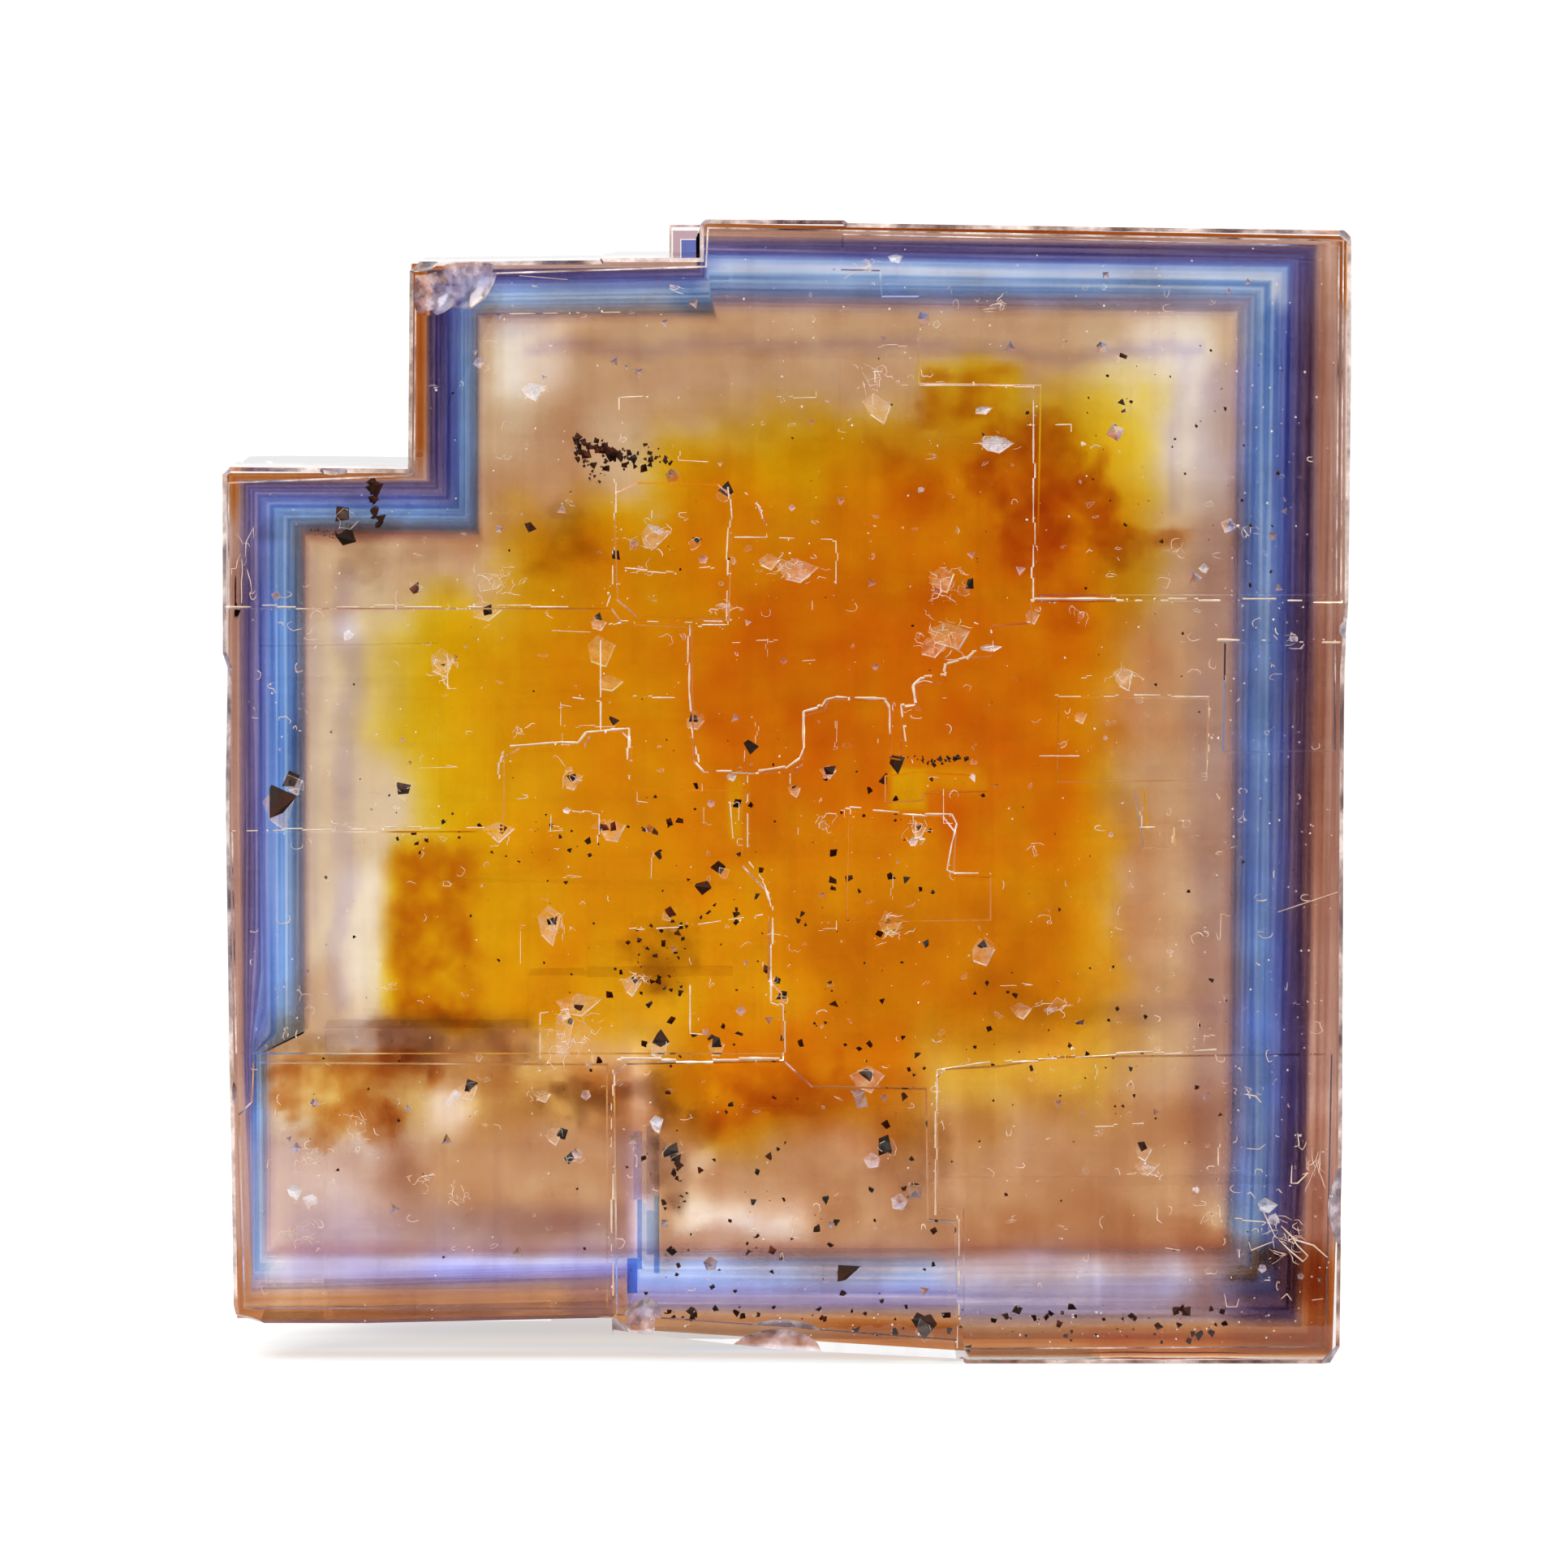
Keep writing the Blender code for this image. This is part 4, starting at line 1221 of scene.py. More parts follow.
# Half width in mm, and the corners of each line.
STEP_LINES = [
    (0.028, [(-30.42, 41.14), (-11.83, 41.14)]),
    (0.055, [(13.21, 41.49), (30.13, 41.49)]),
    (0.034, [(6.18, 53.14), (13.35, 53.14), (13.35, 41.49)]),
    (0.055, [(23.32, 39.34), (30.0, 39.29)]),
    (0.028, [(-30.07, 28.97), (-15.35, 29.18)]),
    (0.036, [(-3.18, 47.64), (-3.05, 45.88), (-3.18, 43.69), (-3.27, 40.17), (-5.24, 40.17), (-5.29, 36.66)]),
    (0.045, [(-5.29, 36.66), (-5.11, 34.46), (-4.94, 32.7), (-4.45, 32.17), (-1.73, 32.13)]),
    (0.055, [
        (-1.73, 32.13), (-0.06, 32.39), (0.69, 32.92), (0.91, 33.49), (0.91, 35.47), (1.88, 35.73),
        (2.14, 36.13), (2.67, 36.26), (5.3, 36.17), (5.57, 35.69), (5.61, 34.24),
    ]),
    (0.030, [(-2.83, 44.92), (-1.07, 44.92), (-1.29, 46.32), (-2.39, 47.2)]),
    (0.032, [(6.84, 32.66), (6.45, 33.84), (6.18, 35.82)]),
    (0.058, [
        (6.18, 35.82), (6.97, 35.95), (6.84, 36.88), (7.24, 37.27), (8.56, 37.4), (8.69, 38.06),
        (9.74, 38.33), (10.14, 38.72),
    ]),
    (0.070, [(10.05, 38.72), (11.19, 38.9)]),
    (0.040, [(11.19, 38.9), (11.06, 39.91), (10.14, 40.3)]),
    (0.050, [
        (-15.57, 31.82), (-15.48, 32.92), (-15.0, 33.58), (-12.27, 33.8), (-11.31, 33.76),
        (-10.87, 34.33), (-8.54, 34.55), (-8.54, 31.38),
    ]),
    (0.032, [(-8.32, 36.3), (-5.24, 36.3)]),
    (0.028, [(-9.33, 48.08), (-9.33, 42.37), (-10.08, 40.17), (-10.08, 36.22)]),
    (0.042, [
        (3.19, 30.2), (5.3, 30.06), (7.5, 29.89), (8.95, 29.89), (9.22, 29.36), (8.95, 28.31),
        (8.69, 26.86), (9.08, 26.68), (11.06, 26.68),
    ]),
    (0.034, [(6.84, 29.89), (6.93, 28.57)]),
    (0.070, [(6.93, 28.57), (7.5, 28.61)]),
    (0.030, [(14.53, 36.35), (22.88, 36.35), (22.88, 31.82)]),
    (0.032, [(19.15, 30.72), (19.15, 29.18), (20.99, 29.18), (20.99, 28.31)]),
    (0.040, [
        (-0.19, 16.53), (-0.19, 19.52), (-0.85, 19.74), (-0.85, 24.88), (-1.2, 26.06),
        (-2.12, 27.25), (-2.12, 32.0),
    ]),
    (0.026, [(-3.18, 31.82), (-2.91, 28.57)]),
    (0.065, [(-9.2, 16.53), (-0.19, 16.53)]),
    (0.036, [(-9.42, 16.0), (-9.42, 3.7)]),
    (0.038, [(23.32, 17.1), (11.02, 16.44), (8.16, 16.0), (8.16, 8.09)]),
    (0.032, [(9.26, 8.09), (9.26, 0.84)]),
    (0.032, [(-11.62, 36.22), (-10.08, 36.0), (-10.08, 34.46)]),
    (0.024, [(-8.98, 50.28), (-8.98, 52.48), (-6.56, 52.61)]),
    (0.024, [(2.67, 42.37), (2.67, 44.7), (-0.41, 44.79)]),
    (0.032, [(-13.37, 15.56), (-13.37, 19.08), (-11.83, 19.3)]),
    (0.028, [(-9.64, 40.17), (-8.98, 40.39), (-3.48, 40.26)]),
    (0.028, [(-8.76, 43.25), (-6.12, 43.03), (-3.92, 43.25)]),
    (0.030, [(13.7, 33.05), (15.85, 33.05)]),
    (0.028, [(-8.54, 23.69), (-4.8, 23.91), (-1.29, 24.44)]),
    (0.036, [(16.73, 12.92), (19.37, 13.01)]),
    (0.034, [(-11.62, 30.06), (-10.16, 29.89), (-10.16, 28.31)]),
    (0.032, [(-5.24, 20.62), (-5.24, 17.98), (-4.58, 17.93)]),
    (0.022, [(-15.0, 57.0), (-8.98, 57.09)]),
    (0.024, [(23.5, 12.0), (23.5, 8.0), (25.96, 7.83)]),
]
# Short lines between them, scattered about the middle.
LINE_SEED, SHORT_LINES = 9, 46
picker = random.Random(LINE_SEED)
short_lines = []
for _ in range(SHORT_LINES):
    across, up = picker.gauss(-2, 11), picker.gauss(33, 12)
    if not (-27 < across < 27 and 4 < up < 57) or (across < -18 and up > 46):
        continue
    length = picker.uniform(0.4, 2.4)
    turn = picker.choice(((length, 0.05), (0.03, length), (-length, 0.08), (0.0, -length)))
    corner = (across + turn[0], up + turn[1])
    bend = picker.choice(((0, 0.5), (0.5, 0), (-0.6, 0.1), (0, -0.4)))
    end = (corner[0] + bend[0], corner[1] + bend[1])
    short_lines.append((picker.uniform(0.012, 0.021), [(across, up), corner, end]))
LINE_DEPTH, LINE_STRIDE = 0.07, 0.2
JOG, THIN_LINE = 0.09, 0.033
work = bmesh.new()


def add_ring(across, up, side, reach, previous):
    """The next three corners of a hair line, joined to the ones before."""
    centre = Vector((across, skin_y(across, up) + LINE_DEPTH, up))
    ring = [
        work.verts.new((centre + offset) * MM)
        for offset in (side * reach, -side * reach, Vector((0, -reach * 0.8, 0)))
    ]
    if previous:
        for m in range(3):
            n = (m + 1) % 3
            work.faces.new([previous[m], previous[n], ring[n], ring[m]])
    return ring


jog_seed = 0.0
for half_width, places in STEP_LINES + short_lines:
    for (a, b), (c, d) in zip(places, places[1:]):
        jog_seed += 3.7
        length = math.hypot(c - a, d - b)
        steps = max(int(length / LINE_STRIDE), 1)
        side = Vector((-(d - b), 0, c - a)) / length
        previous, last_jog = None, 0.0
        for k in range(steps + 1):
            share = k / steps
            travelled = share * length
            inner = 0 < k < steps
            jogs = round(2.2 * noise.noise(Vector((travelled * 0.35, jog_seed, 0)))) if inner else 0
            jog = JOG * jogs
            # Where the pale line shows and how wide it is: its painted highlight comes and goes along the
            # line.
            bright = noise.fractal(Vector((travelled * 0.8, jog_seed, 5.0)), 0.8, 2.0, 3)
            reach = half_width * min(max(1.0 + 0.9 * bright, 0.6), 1.6)
            across, up = a + (c - a) * share, b + (d - b) * share
            if jog != last_jog and previous:
                add_ring(across + side.x * last_jog, up + side.z * last_jog, side, reach, previous)
                previous = None
            last_jog = jog
            if inner and bright < (-0.45 if half_width > THIN_LINE else -0.2):
                previous = None
                continue
            previous = add_ring(across + side.x * jog, up + side.z * jog, side, reach, previous)
bmesh.ops.holes_fill(work, edges=[e for e in work.edges if len(e.link_faces) == 1], sides=3)
bmesh.ops.recalc_face_normals(work, faces=work.faces)


def pale_fluorite_painted_glow(name, pale, dull, scale, roughness=0.45):
    """Fluorite broken so finely that it looks white, with a painted glow that stands in for light from
    behind.
    """
    material, nodes, links, output = new_material(name)
    shader = nodes.new("ShaderNodeBsdfPrincipled")
    place = nodes.new("ShaderNodeTexCoord").outputs["Object"]
    links.new(
        ramp(
            nodes,
            links,
            grain_noise(nodes, links, place, scale, 4.0),
            [(0.38, linear(dull)), (0.62, linear(pale))],
        ),
        shader.inputs["Base Color"],
    )
    shader.inputs["Roughness"].default_value = roughness
    shader.inputs["IOR"].default_value = FLUORITE_IOR
    # A painted glow: emission that stands in for light that comes through the crystal from behind and is
    # scattered in the break.
    shader.inputs["Emission Color"].default_value = (*linear(pale), 1)
    shader.inputs["Emission Strength"].default_value = 0.4
    links.new(shader.outputs["BSDF"], output.inputs["Surface"])
    return material


step_line = pale_fluorite_painted_glow("step_line", pale=(255, 236, 214), dull=(226, 172, 126), scale=900.0)
add_piece("growth_step_lines", work, step_line)

# ---------------------------------------------------------------------------------------------------------
# Healed cracks and specks: thin whitish films inside the crystal near its face, and pale dust of bubbles.
# The films are irregular flakes with a brighter broken outline, most of them round a sealed grain. They carry
# a painted glow.


def veil(name, pale, thin, dense, scale, glow=0.25):
    """A film that hides what is behind it only in part, in ragged patches, and has a painted glow of strength
    glow.
    """
    material, nodes, links, output = new_material(name)
    film = nodes.new("ShaderNodeBsdfPrincipled")
    film.inputs["Base Color"].default_value = (*linear(pale), 1)
    film.inputs["Roughness"].default_value = 0.5
    # A painted glow, standing in for light from behind that the film scatters.
    film.inputs["Emission Color"].default_value = (*linear(pale), 1)
    film.inputs["Emission Strength"].default_value = glow
    place = nodes.new("ShaderNodeTexCoord").outputs["Object"]
    patchy = grain_noise(nodes, links, place, scale, 5.0, 0.65)
    cover = ramp(nodes, links, patchy, [(0.40, (thin,) * 3), (0.60, (dense,) * 3)])
    whole = blend(nodes, links, cover, straight_through(nodes), film.outputs["BSDF"])
    links.new(whole, output.inputs["Surface"])
    return material


# Across and up on the show face, width and height, all in mm.
FLAKES = [
    (11.2, 50.1, 3.1, 1.2), (-13.8, 52.9, 1.6, 0.8), (4.6, 53.6, 2.1, 1.9), (0.3, 43.2, 4.0, 1.8),
    (8.6, 42.4, 2.6, 2.2), (8.4, 39.3, 3.1, 2.6), (-7.2, 45.0, 2.2, 1.8), (-18.6, 38.0, 1.6, 1.5),
    (-16.0, 42.4, 2.6, 2.2), (-23.7, 29.2, 2.6, 0.7), (-12.5, 23.9, 1.6, 1.5), (-8.3, 20.7, 1.3, 1.2),
    (5.7, 23.7, 2.2, 1.6), (11.5, 57.5, 1.3, 0.9), (4.2, 59.7, 1.6, 1.0), (-6.1, 58.4, 1.1, 0.6),
    (24.9, 45.2, 1.1, 1.1), (25.3, 14.7, 1.3, 0.9), (27.3, 39.3, 1.8, 0.9),
    (19.8, 10.5, 1.8, 0.7), (-17.8, 9.0, 1.1, 1.0), (-19.7, 10.1, 1.8, 0.6), (-13.6, 14.7, 1.1, 0.6),
    (-11.2, 18.2, 3.1, 3.1), (-12.3, 16.9, 2.2, 1.8), (-25.7, 11.4, 2.2, 1.3), (-23.3, 12.9, 1.8, 1.8),
    (-26.3, 7.2, 2.2, 1.8), (14.5, 19.5, 2.6, 1.3), (26.8, 6.8, 3.1, 2.6), (28.6, 10.7, 1.0, 2.2),
    (18.3, 37.3, 1.6, 1.6), (15.9, 40.6, 0.9, 0.9), (-7.9, 43.2, 0.9, 0.6), (21.3, 44.1, 1.3, 0.9),
    (7.1, 29.2, 1.1, 1.1), (2.0, 29.3, 1.1, 1.1), (-3.3, 41.1, 2.2, 0.9), (-11.8, 32.3, 0.9, 0.9),
    (-14.5, 34.5, 0.9, 0.7), (-21.5, 20.6, 1.3, 0.6), (-29.4, 43.7, 0.6, 1.8),
]
# The films that hide most of what is behind them.
BRIGHT_FLAKES = [
    (11.2, 50.1, 1.9, 0.8), (-13.8, 52.9, 0.9, 0.6), (10.1, 31.9, 0.5, 0.7), (26.4, 7.9, 1.0, 1.2),
    (27.4, 39.4, 0.9, 0.5), (14.3, 19.3, 1.2, 0.5), (-23.7, 39.6, 0.7, 0.9), (-18.1, 14.5, 1.4, 1.0),
    (-3.4, 41.2, 0.9, 0.3), (19.5, 10.7, 1.2, 0.4), (4.4, 59.6, 1.2, 0.5), (-25.9, 8.9, 1.4, 1.2),
    (7.3, 47.5, 0.7, 0.5), (-7.1, 45.3, 1.0, 0.8), (22.2, 9.5, 0.6, 0.6), (-12.0, 18.9, 0.9, 0.7),
    (16.0, 50.0, 0.5, 0.4), (-19.0, 38.2, 0.5, 0.4),
]
# The lines of the star-shaped crack in the lower right corner, and of other small cracks near it.
CRACK_LINES = [
    (0.050, [(26.84, 7.52), (27.59, 6.77), (28.6, 6.46), (29.34, 5.81)]),
    (0.034, [(26.71, 6.77), (27.28, 6.2), (28.02, 5.59), (28.29, 5.89), (27.72, 6.46), (27.41, 6.9)]),
    (0.042, [(26.4, 6.68), (25.21, 6.2), (25.08, 6.64)]),
    (0.034, [(26.53, 6.9), (25.96, 8.09), (25.83, 8.4)]),
    (0.034, [(27.41, 10.82), (27.37, 9.85), (27.72, 9.85), (28.29, 10.42), (27.98, 10.33)]),
    (0.030, [(27.72, 12.57), (27.8, 11.91), (27.54, 11.83)]),
    (0.030, [(24.95, 11.74), (25.61, 11.69), (25.96, 11.96)]),
    (0.034, [(23.76, 3.83), (23.89, 3.12), (24.42, 3.12), (24.55, 3.56)]),
    (0.034, [(26.84, 3.56), (27.15, 3.83), (27.41, 3.48)]),
    (0.030, [(20.11, 8.53), (20.11, 7.87), (20.38, 7.65)]),
    (0.030, [(22.66, 8.09), (22.44, 7.65), (22.88, 7.87)]),
    (0.045, [(20.55, 6.33), (21.34, 6.2)]),
    (0.040, [(25.74, 14.24), (25.43, 14.59), (24.9, 14.68)]),
    (0.034, [(28.51, 3.48), (29.12, 3.56)]),
    (0.034, [(26.62, 24.57), (29.91, 25.67)]),
    (0.030, [(-14.47, 59.07), (-11.83, 58.85)]),
]
# Small hooks and arcs: half width, and points close together.
FLAKE_SEED, HOOKS = 21, 260
picker = random.Random(FLAKE_SEED)
hooks = []
for _ in range(HOOKS):
    if picker.random() < 0.35:
        across, up = picker.choice((picker.uniform(22, 29), picker.uniform(-29, -25))), picker.uniform(4, 44)
    else:
        across, up = picker.uniform(-28.5, 28.5), picker.uniform(4, 59)
    if above_steps(across, up, (-19.4, 47), (-5, 58.6)):
        continue
    angle, sweep = picker.uniform(0, 6.28), picker.uniform(0.8, 4.2) * picker.choice((-1, 1))
    width, height = picker.uniform(0.08, 0.42), picker.uniform(0.08, 0.34)
    points = [
        (
            across + math.cos(angle + sweep * k / 6) * width * picker.uniform(0.75, 1.2),
            up + math.sin(angle + sweep * k / 6) * height * picker.uniform(0.75, 1.2),
        )
        for k in range(7)
    ]
    hooks.append((picker.uniform(0.01, 0.026), points))
# The larger cracks show as nets of short crooked lines.
for across, up, width, height in FLAKES:
    for _ in range(int(4 + 2.4 * width * height)):
        angle, reach = picker.uniform(0, 6.28), picker.uniform(0.1, 0.5)
        x, z = across + math.cos(angle) * width * reach, up + math.sin(angle) * height * reach
        heading = angle + picker.uniform(0.8, 2.2) * picker.choice((-1, 1))
        points = [(x, z)]
        for _ in range(picker.randint(2, 5)):
            heading += picker.gauss(0, 0.8)
            stride = picker.uniform(0.08, 0.3)
            x, z = x + math.cos(heading) * stride, z + math.sin(heading) * stride * height / width
            points.append((x, z))
        hooks.append((picker.uniform(0.009, 0.024), points))
work = bmesh.new()
for half_width, points in CRACK_LINES + hooks:
    previous = None
    for k, (across, up) in enumerate(points):
        (a, b), (c, d) = points[max(k - 1, 0)], points[min(k + 1, len(points) - 1)]
        side = Vector((-(d - b), 0, c - a)).normalized()
        taper = 0.5 if k in (0, len(points) - 1) else picker.uniform(0.7, 1.3)
        previous = add_ring(across, up, side, half_width * taper, previous)
bmesh.ops.holes_fill(work, edges=[e for e in work.edges if len(e.link_faces) == 1], sides=3)
bmesh.ops.recalc_face_normals(work, faces=work.faces)
crack_line = pale_fluorite_painted_glow("crack_line", pale=(255, 234, 216), dull=(214, 150, 112), scale=1500.0)
add_piece("healed_crack_lines", work, crack_line)

# The films themselves: ragged flakes round the large grains and cracks, and small ones scattered about.
SMALL_FLAKES = 230
FILM_DEPTHS = (0.9, 1.6)
FILM, OUTLINE, BRIGHT = 0, 1, 2
flakes = [(across, up, width * 0.7, height * 0.7) for across, up, width, height in FLAKES] + BRIGHT_FLAKES
for across, up, width, _ in LARGE_GRAINS:
    if picker.random() < 0.6:
        beside, above = across + picker.uniform(-0.3, 0.3), up + picker.uniform(-0.4, 0.2)
        flakes.append((beside, above, width * picker.uniform(1.3, 2.4), width * 1.4))
for _ in range(SMALL_FLAKES):
    flakes.append(
        (picker.uniform(-28, 28), picker.uniform(4, 59), picker.uniform(0.2, 0.9), picker.uniform(0.15, 0.6))
    )
work = bmesh.new()
for across, up, width, height in flakes:
    film = BRIGHT if (across, up, width, height) in BRIGHT_FLAKES else FILM
    if above_steps(across, up, (-19.5, 47.0), (-5, 59)):
        continue
    y = SHOW_FACE_Y + picker.uniform(*FILM_DEPTHS)
    turn = Matrix.Rotation(picker.uniform(-0.5, 0.5), 3, "X")
    turn = turn @ Matrix.Rotation(picker.uniform(-0.5, 0.5), 3, "Z")
    tilt_round = Matrix.Rotation(picker.uniform(-0.6, 0.6), 3, "Y")
    count = picker.randint(5, 9)
    centre = Vector(picker.uniform(-reach, reach) for reach in (0.15, 0.1, 0.15)) * width
    rim, inner = [], []
    for k in range(count):
        angle = 2 * math.pi * (k + picker.uniform(-0.42, 0.42)) / count
        reach = picker.uniform(0.3, 1.0) ** 0.8
        spot = Vector((math.cos(angle) * width / 2 * reach, 0, math.sin(angle) * height / 2 * reach))
        rim.append(spot)
        inner.append(spot * (1 - picker.uniform(0.02, 0.045) / max(spot.length, 0.08)))
    x, z = in_sight(across, up, y)
    base = Vector((x, y, z))
    shrink = min(1.0, 0.75 / max(width, 0.1))
    turned = [turn @ (tilt_round @ p) for p in rim + inner + [centre]]
    verts = [work.verts.new((base + Vector((v.x, v.y * shrink, v.z))) * MM) for v in turned]
    for k in range(count):
        n = (k + 1) % count
        if picker.random() < 0.72:
            outer = work.faces.new([verts[k], verts[n], verts[count + n], verts[count + k]])
            outer.material_index = OUTLINE
        inside = work.faces.new([verts[count + k], verts[count + n], verts[2 * count]])
        inside.material_index = film
bmesh.ops.recalc_face_normals(work, faces=work.faces)
# The films and outlines carry a painted glow.
add_piece(
    "healed_cracks",
    work,
    veil("crack_film", pale=(250, 238, 232), thin=0.0, dense=0.05, scale=2200.0),
    veil("crack_outline", pale=(255, 244, 234), thin=0.1, dense=0.95, scale=1300.0),
    veil("crack_bright", pale=(248, 236, 240), thin=0.1, dense=0.8, scale=1600.0),
)

# The kite-shaped halos: a film of cracks round a sealed grain, peach against the light, with a pale lower
# edge. Across and up on the show face, width and height.
HALOS = [
    (-12.8, 23.9, 1.7, 2.0), (-8.4, 20.6, 1.1, 1.3), (-6.9, 17.3, 1.3, 1.3), (-3.8, 17.2, 1.2, 1.1),
    (10.6, 22.4, 1.4, 1.4), (4.4, 15.5, 2.0, 1.3), (-15.6, 28.9, 1.7, 1.2), (-9.4, 29.0, 1.5, 1.4),
    (-18.7, 38.1, 1.5, 1.5), (-16.2, 41.0, 2.0, 1.3), (-10.2, 40.2, 1.0, 0.8), (-20.8, 31.2, 1.2, 1.1),
    (-17.2, 14.9, 1.2, 1.0), (-11.6, 31.7, 1.2, 1.1), (2.3, 32.2, 1.0, 0.8), (5.6, 23.9, 1.6, 1.3),
    (-5.0, 34.9, 1.1, 0.8), (-11.2, 19.6, 2.4, 1.3), (-12.0, 18.0, 1.3, 2.6), (19.3, 11.6, 1.1, 1.0),
    (7.2, 29.0, 1.1, 1.0), (-27.5, 30.3, 2.3, 2.3), (-26.7, 31.6, 1.3, 1.2), (0.4, 31.2, 0.9, 0.8),
    (8.4, 42.6, 1.9, 1.4), (8.9, 39.6, 2.4, 1.7), (7.9, 38.9, 1.7, 1.3), (0.6, 43.1, 2.5, 1.2),
    (-1.0, 43.6, 1.4, 0.8), (-7.2, 44.9, 1.9, 1.4), (-10.0, 38.7, 1.7, 1.9), (-9.6, 37.0, 1.5, 0.9),
    (5.0, 51.9, 1.7, 1.5), (13.3, 40.6, 0.9, 0.9), (18.3, 37.3, 1.2, 1.3), (15.9, 35.2, 0.8, 0.7),
    (-13.2, 14.6, 1.0, 0.7), (-12.6, 12.4, 1.3, 1.0), (19.6, 10.7, 1.5, 0.9), (12.8, 19.2, 1.3, 1.0),
]
# Fresh white breaks, nearer the face.
WHITE_BREAKS = [
    (-13.7, 52.8, 1.4, 1.1), (11.4, 49.9, 2.4, 0.9), (-7.0, 13.1, 0.9, 0.9), (10.6, 51.8, 1.0, 0.5),
    (26.0, 8.6, 1.3, 0.9), (-26.6, 9.4, 0.9, 0.8), (6.9, 28.4, 0.6, 0.5), (11.0, 38.9, 1.3, 0.4),
    (-11.9, 30.1, 0.5, 0.4), (22.6, 43.2, 0.6, 0.6), (-3.0, 31.9, 0.7, 0.4), (5.9, 60.0, 0.9, 0.5),
]
HALO_KITE = [(-0.46, 0.16), (-0.08, 0.5), (0.44, 0.2), (0.10, -0.5), (-0.30, -0.32)]
LOWER_EDGES = (2, 3)
HALO_DEPTH, BREAK_DEPTH, HALO_RIM = 2.9, 1.2, 0.11
HALO, PALE_EDGE, WHITE = 0, 1, 2
work = bmesh.new()
for across, up, width, height in HALOS + WHITE_BREAKS:
    white = (across, up, width, height) in WHITE_BREAKS
    y = SHOW_FACE_Y + (BREAK_DEPTH if white else HALO_DEPTH)
    x, z = in_sight(across, up, y)
    corners = []
    for side, above in HALO_KITE:
        side, above = side + picker.uniform(-0.1, 0.1), above + picker.uniform(-0.1, 0.1)
        corners.append(Vector((x + side * width, y + picker.uniform(-0.15, 0.15), z + above * height)))
    middle = sum(corners, Vector()) / len(corners) + Vector((0, 0.15, 0))
    inner = [corner + (middle - corner).normalized() * HALO_RIM for corner in corners]
    outer_verts = [work.verts.new(corner * MM) for corner in corners]
    inner_verts = [work.verts.new(corner * MM) for corner in inner]
    middle_vert = work.verts.new(middle * MM)
    for k in range(len(corners)):
        n = (k + 1) % len(corners)
        film = work.faces.new([inner_verts[k], inner_verts[n], middle_vert])
        film.material_index = WHITE if white else HALO
        rim = work.faces.new([outer_verts[k], outer_verts[n], inner_verts[n], inner_verts[k]])
        rim.material_index = PALE_EDGE if k in LOWER_EDGES or white else HALO
bmesh.ops.recalc_face_normals(work, faces=work.faces)
# The halo films, their edges and the white breaks all carry a painted glow.
add_piece(
    "grain_halos",
    work,
    veil("halo_film", pale=(255, 212, 176), thin=0.06, dense=0.50, scale=1500.0),
    veil("halo_edge", pale=(255, 244, 234), thin=0.35, dense=0.95, scale=1300.0),
    veil("white_break", pale=(238, 240, 250), thin=0.25, dense=0.9, scale=2400.0, glow=0.35),
)

# The specks: dust of tiny bubbles through the whole crystal, thicker by the right side, the top and the foot.
SPECK_SEED = 77
NEAREST_SPECK, SMALLEST_SPECK, SPECK_GROWTH = 0.62, 0.04, 0.1
SPECKS_PER_MM, SPECKS_BESIDE = 0.9, 0.12
# How many, then from and to across, up and in depth.
SPECK_FIELDS = [
    (620, (-29.3, 29.3), (2.8, 60.0), (0.3, 5.0)),
    (140, (23.0, 29.6), (3.0, 58.0), (0.3, 2.0)),
    (80, (-3.0, 29.0), (53.0, 60.6), (0.3, 2.0)),
    (90, (-8.0, 29.0), (1.2, 3.0), (0.3, 1.5)),
]
picker = random.Random(SPECK_SEED)
work = bmesh.new()
speck_places = [
    tuple(picker.uniform(*reach) for reach in reaches) for many, *reaches in SPECK_FIELDS for _ in range(many)
]
for _, places in STEP_LINES:
    for (a, b), (c, d) in zip(places, places[1:]):
        for _ in range(int(math.hypot(c - a, d - b) * SPECKS_PER_MM)):
            share = picker.random()
            speck_places.append(
                (
                    a + (c - a) * share + picker.gauss(0, SPECKS_BESIDE),
                    b + (d - b) * share + picker.gauss(0, SPECKS_BESIDE),
                    picker.uniform(0.6, 0.9),
                )
            )
for across, up, depth in speck_places:
    if above_steps(across, up, (-19.8, 47.6), (-5, 59)):
        continue
    width = SMALLEST_SPECK + SPECK_GROWTH * picker.random() ** 2
    add_grain(work, across, up, max(depth, NEAREST_SPECK), width, picker)
bmesh.ops.recalc_face_normals(work, faces=work.faces)
# The specks carry a painted glow.
speck = pale_fluorite_painted_glow("speck", pale=(255, 248, 244), dull=(240, 216, 190), scale=700.0, roughness=0.3)
add_piece("bubble_specks", work, speck)

# ---------------------------------------------------------------------------------------------------------
# The stage: a wide pale floor that the crystal stands on, an even white surround, and two soft lamps.
# In front, both are dark to a mirrored ray, so that the show face doesn't mirror them over its colours.


def mirrored_rays(nodes, links):
    """1 for what a smooth face mirrors, and 0 for what is seen straight or through the mineral."""
    rays = nodes.new("ShaderNodeLightPath")
    return product(nodes, links, rays.outputs["Is Glossy Ray"], rays.outputs["Is Reflection Ray"])


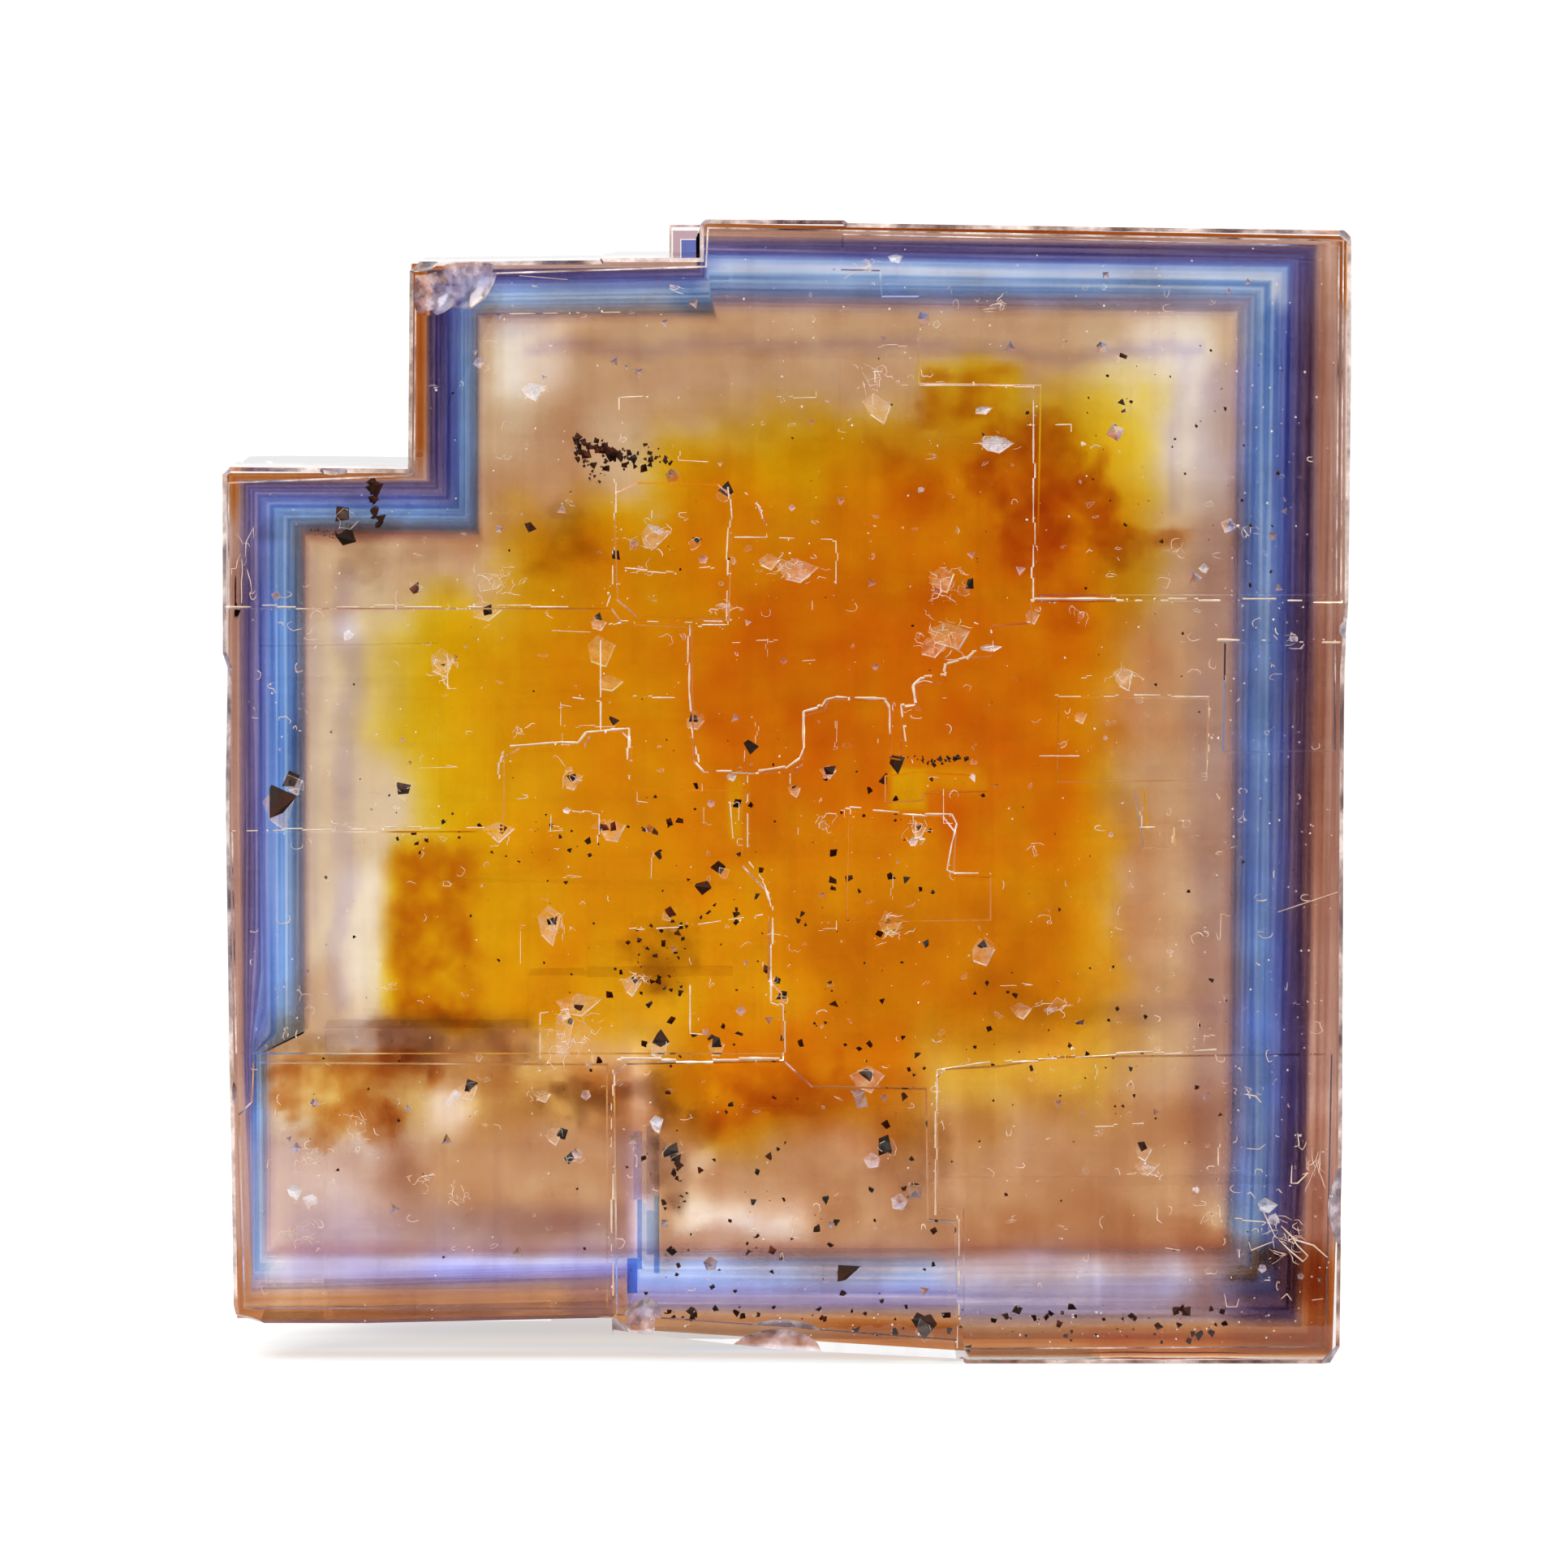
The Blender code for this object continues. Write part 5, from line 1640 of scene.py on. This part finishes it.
# Lengths of the stage are in metres.
FLOOR_REACH, FLOOR_DROP, FLOOR_FRONT_Y = 30.0, 0.05 * MM, -0.04
FLOOR_PAINT, FLOOR_GLOW = 0.5, 0.56
DARK_PAINT, DARK_GLOW = 0.03, 0.02
SURROUND_STRENGTH = 1.06
floor_mesh = bpy.data.meshes.new("floor")
work = bmesh.new()
bmesh.ops.create_grid(work, x_segments=1, y_segments=1, size=FLOOR_REACH)
work.to_mesh(floor_mesh)
work.free()
floor = bpy.data.objects.new("floor", floor_mesh)
floor.location.z = -FLOOR_DROP
bpy.context.scene.collection.objects.link(floor)
material, nodes, links, output = new_material("pale_floor")
paint = nodes.new("ShaderNodeBsdfDiffuse")
floor_split = nodes.new("ShaderNodeSeparateXYZ")
links.new(nodes.new("ShaderNodeTexCoord").outputs["Object"], floor_split.inputs["Vector"])
in_front = nodes.new("ShaderNodeMath")
in_front.operation = "LESS_THAN"
in_front.inputs[1].default_value = FLOOR_FRONT_Y
links.new(floor_split.outputs["Y"], in_front.inputs[0])
dimmed = product(nodes, links, in_front.outputs["Value"], mirrored_rays(nodes, links))
links.new(
    ramp(nodes, links, dimmed, [(0.0, (FLOOR_PAINT,) * 3), (1.0, (DARK_PAINT,) * 3)]),
    paint.inputs["Color"],
)
glow = nodes.new("ShaderNodeEmission")
glow.inputs["Strength"].default_value = 1.0
links.new(
    ramp(nodes, links, dimmed, [(0.0, (FLOOR_GLOW,) * 3), (1.0, (DARK_GLOW,) * 3)]),
    glow.inputs["Color"],
)
lit = nodes.new("ShaderNodeAddShader")
links.new(paint.outputs["BSDF"], lit.inputs[0])
links.new(glow.outputs["Emission"], lit.inputs[1])
links.new(lit.outputs["Shader"], output.inputs["Surface"])
floor_mesh.materials.append(material)

world = bpy.data.worlds.new("studio")
bpy.context.scene.world = world
world.use_nodes = True
nodes, links = world.node_tree.nodes, world.node_tree.links
nodes.clear()
surround = nodes.new("ShaderNodeBackground")
surround.inputs["Color"].default_value = (1, 1, 1, 1)
surround.inputs["Strength"].default_value = SURROUND_STRENGTH
mirrored = nodes.new("ShaderNodeBackground")
toward = nodes.new("ShaderNodeTexCoord")
split = nodes.new("ShaderNodeSeparateXYZ")
links.new(toward.outputs["Generated"], split.inputs["Vector"])
links.new(
    ramp(nodes, links, split.outputs["Y"], [(0.05, (0.05,) * 3), (0.35, (1.0,) * 3)]),
    mirrored.inputs["Color"],
)
world_output = nodes.new("ShaderNodeOutputWorld")
lights = surround.outputs["Background"], mirrored.outputs["Background"]
links.new(blend(nodes, links, mirrored_rays(nodes, links), *lights), world_output.inputs["Surface"])


def soft_lamp(name, place, aim, size, power):
    """A round lamp of power watts and size metres across, turned toward aim."""
    lamp = bpy.data.lights.new(name, "AREA")
    lamp.shape = "DISK"
    lamp.size = size
    lamp.energy = power
    holder = bpy.data.objects.new(name, lamp)
    holder.location = place
    holder.rotation_mode = "QUATERNION"
    holder.rotation_quaternion = (Vector(aim) - Vector(place)).to_track_quat("-Z", "Y")
    bpy.context.scene.collection.objects.link(holder)


LAMPS_AIM = (0, 0, 0.03)
soft_lamp("key_lamp", (-0.35, -0.45, 0.55), LAMPS_AIM, size=0.35, power=4.0)
soft_lamp("side_lamp", (0.5, -0.2, 0.35), LAMPS_AIM, size=0.3, power=2.0)

camera = bpy.data.cameras.new("camera")
camera.sensor_width = 36.0
camera.lens = 339.2
camera.clip_start, camera.clip_end = 0.01, 60.0
eye = bpy.data.objects.new("camera", camera)
aim = Vector((-0.145, SHOW_FACE_Y, 31.56)) * MM
eye.location = aim + Vector((0, -math.cos(EYE_TILT), math.sin(EYE_TILT))) * (EYE_DISTANCE * MM)
eye.rotation_mode = "QUATERNION"
eye.rotation_quaternion = (aim - eye.location).to_track_quat("-Z", "Y")
bpy.context.scene.collection.objects.link(eye)
bpy.context.scene.camera = eye
bpy.context.scene.view_settings.view_transform = "Standard"
cycles = bpy.context.scene.cycles
cycles.transparent_max_bounces = 64
cycles.max_bounces = 9
cycles.transmission_bounces = 9
cycles.caustics_reflective = False
cycles.caustics_refractive = False
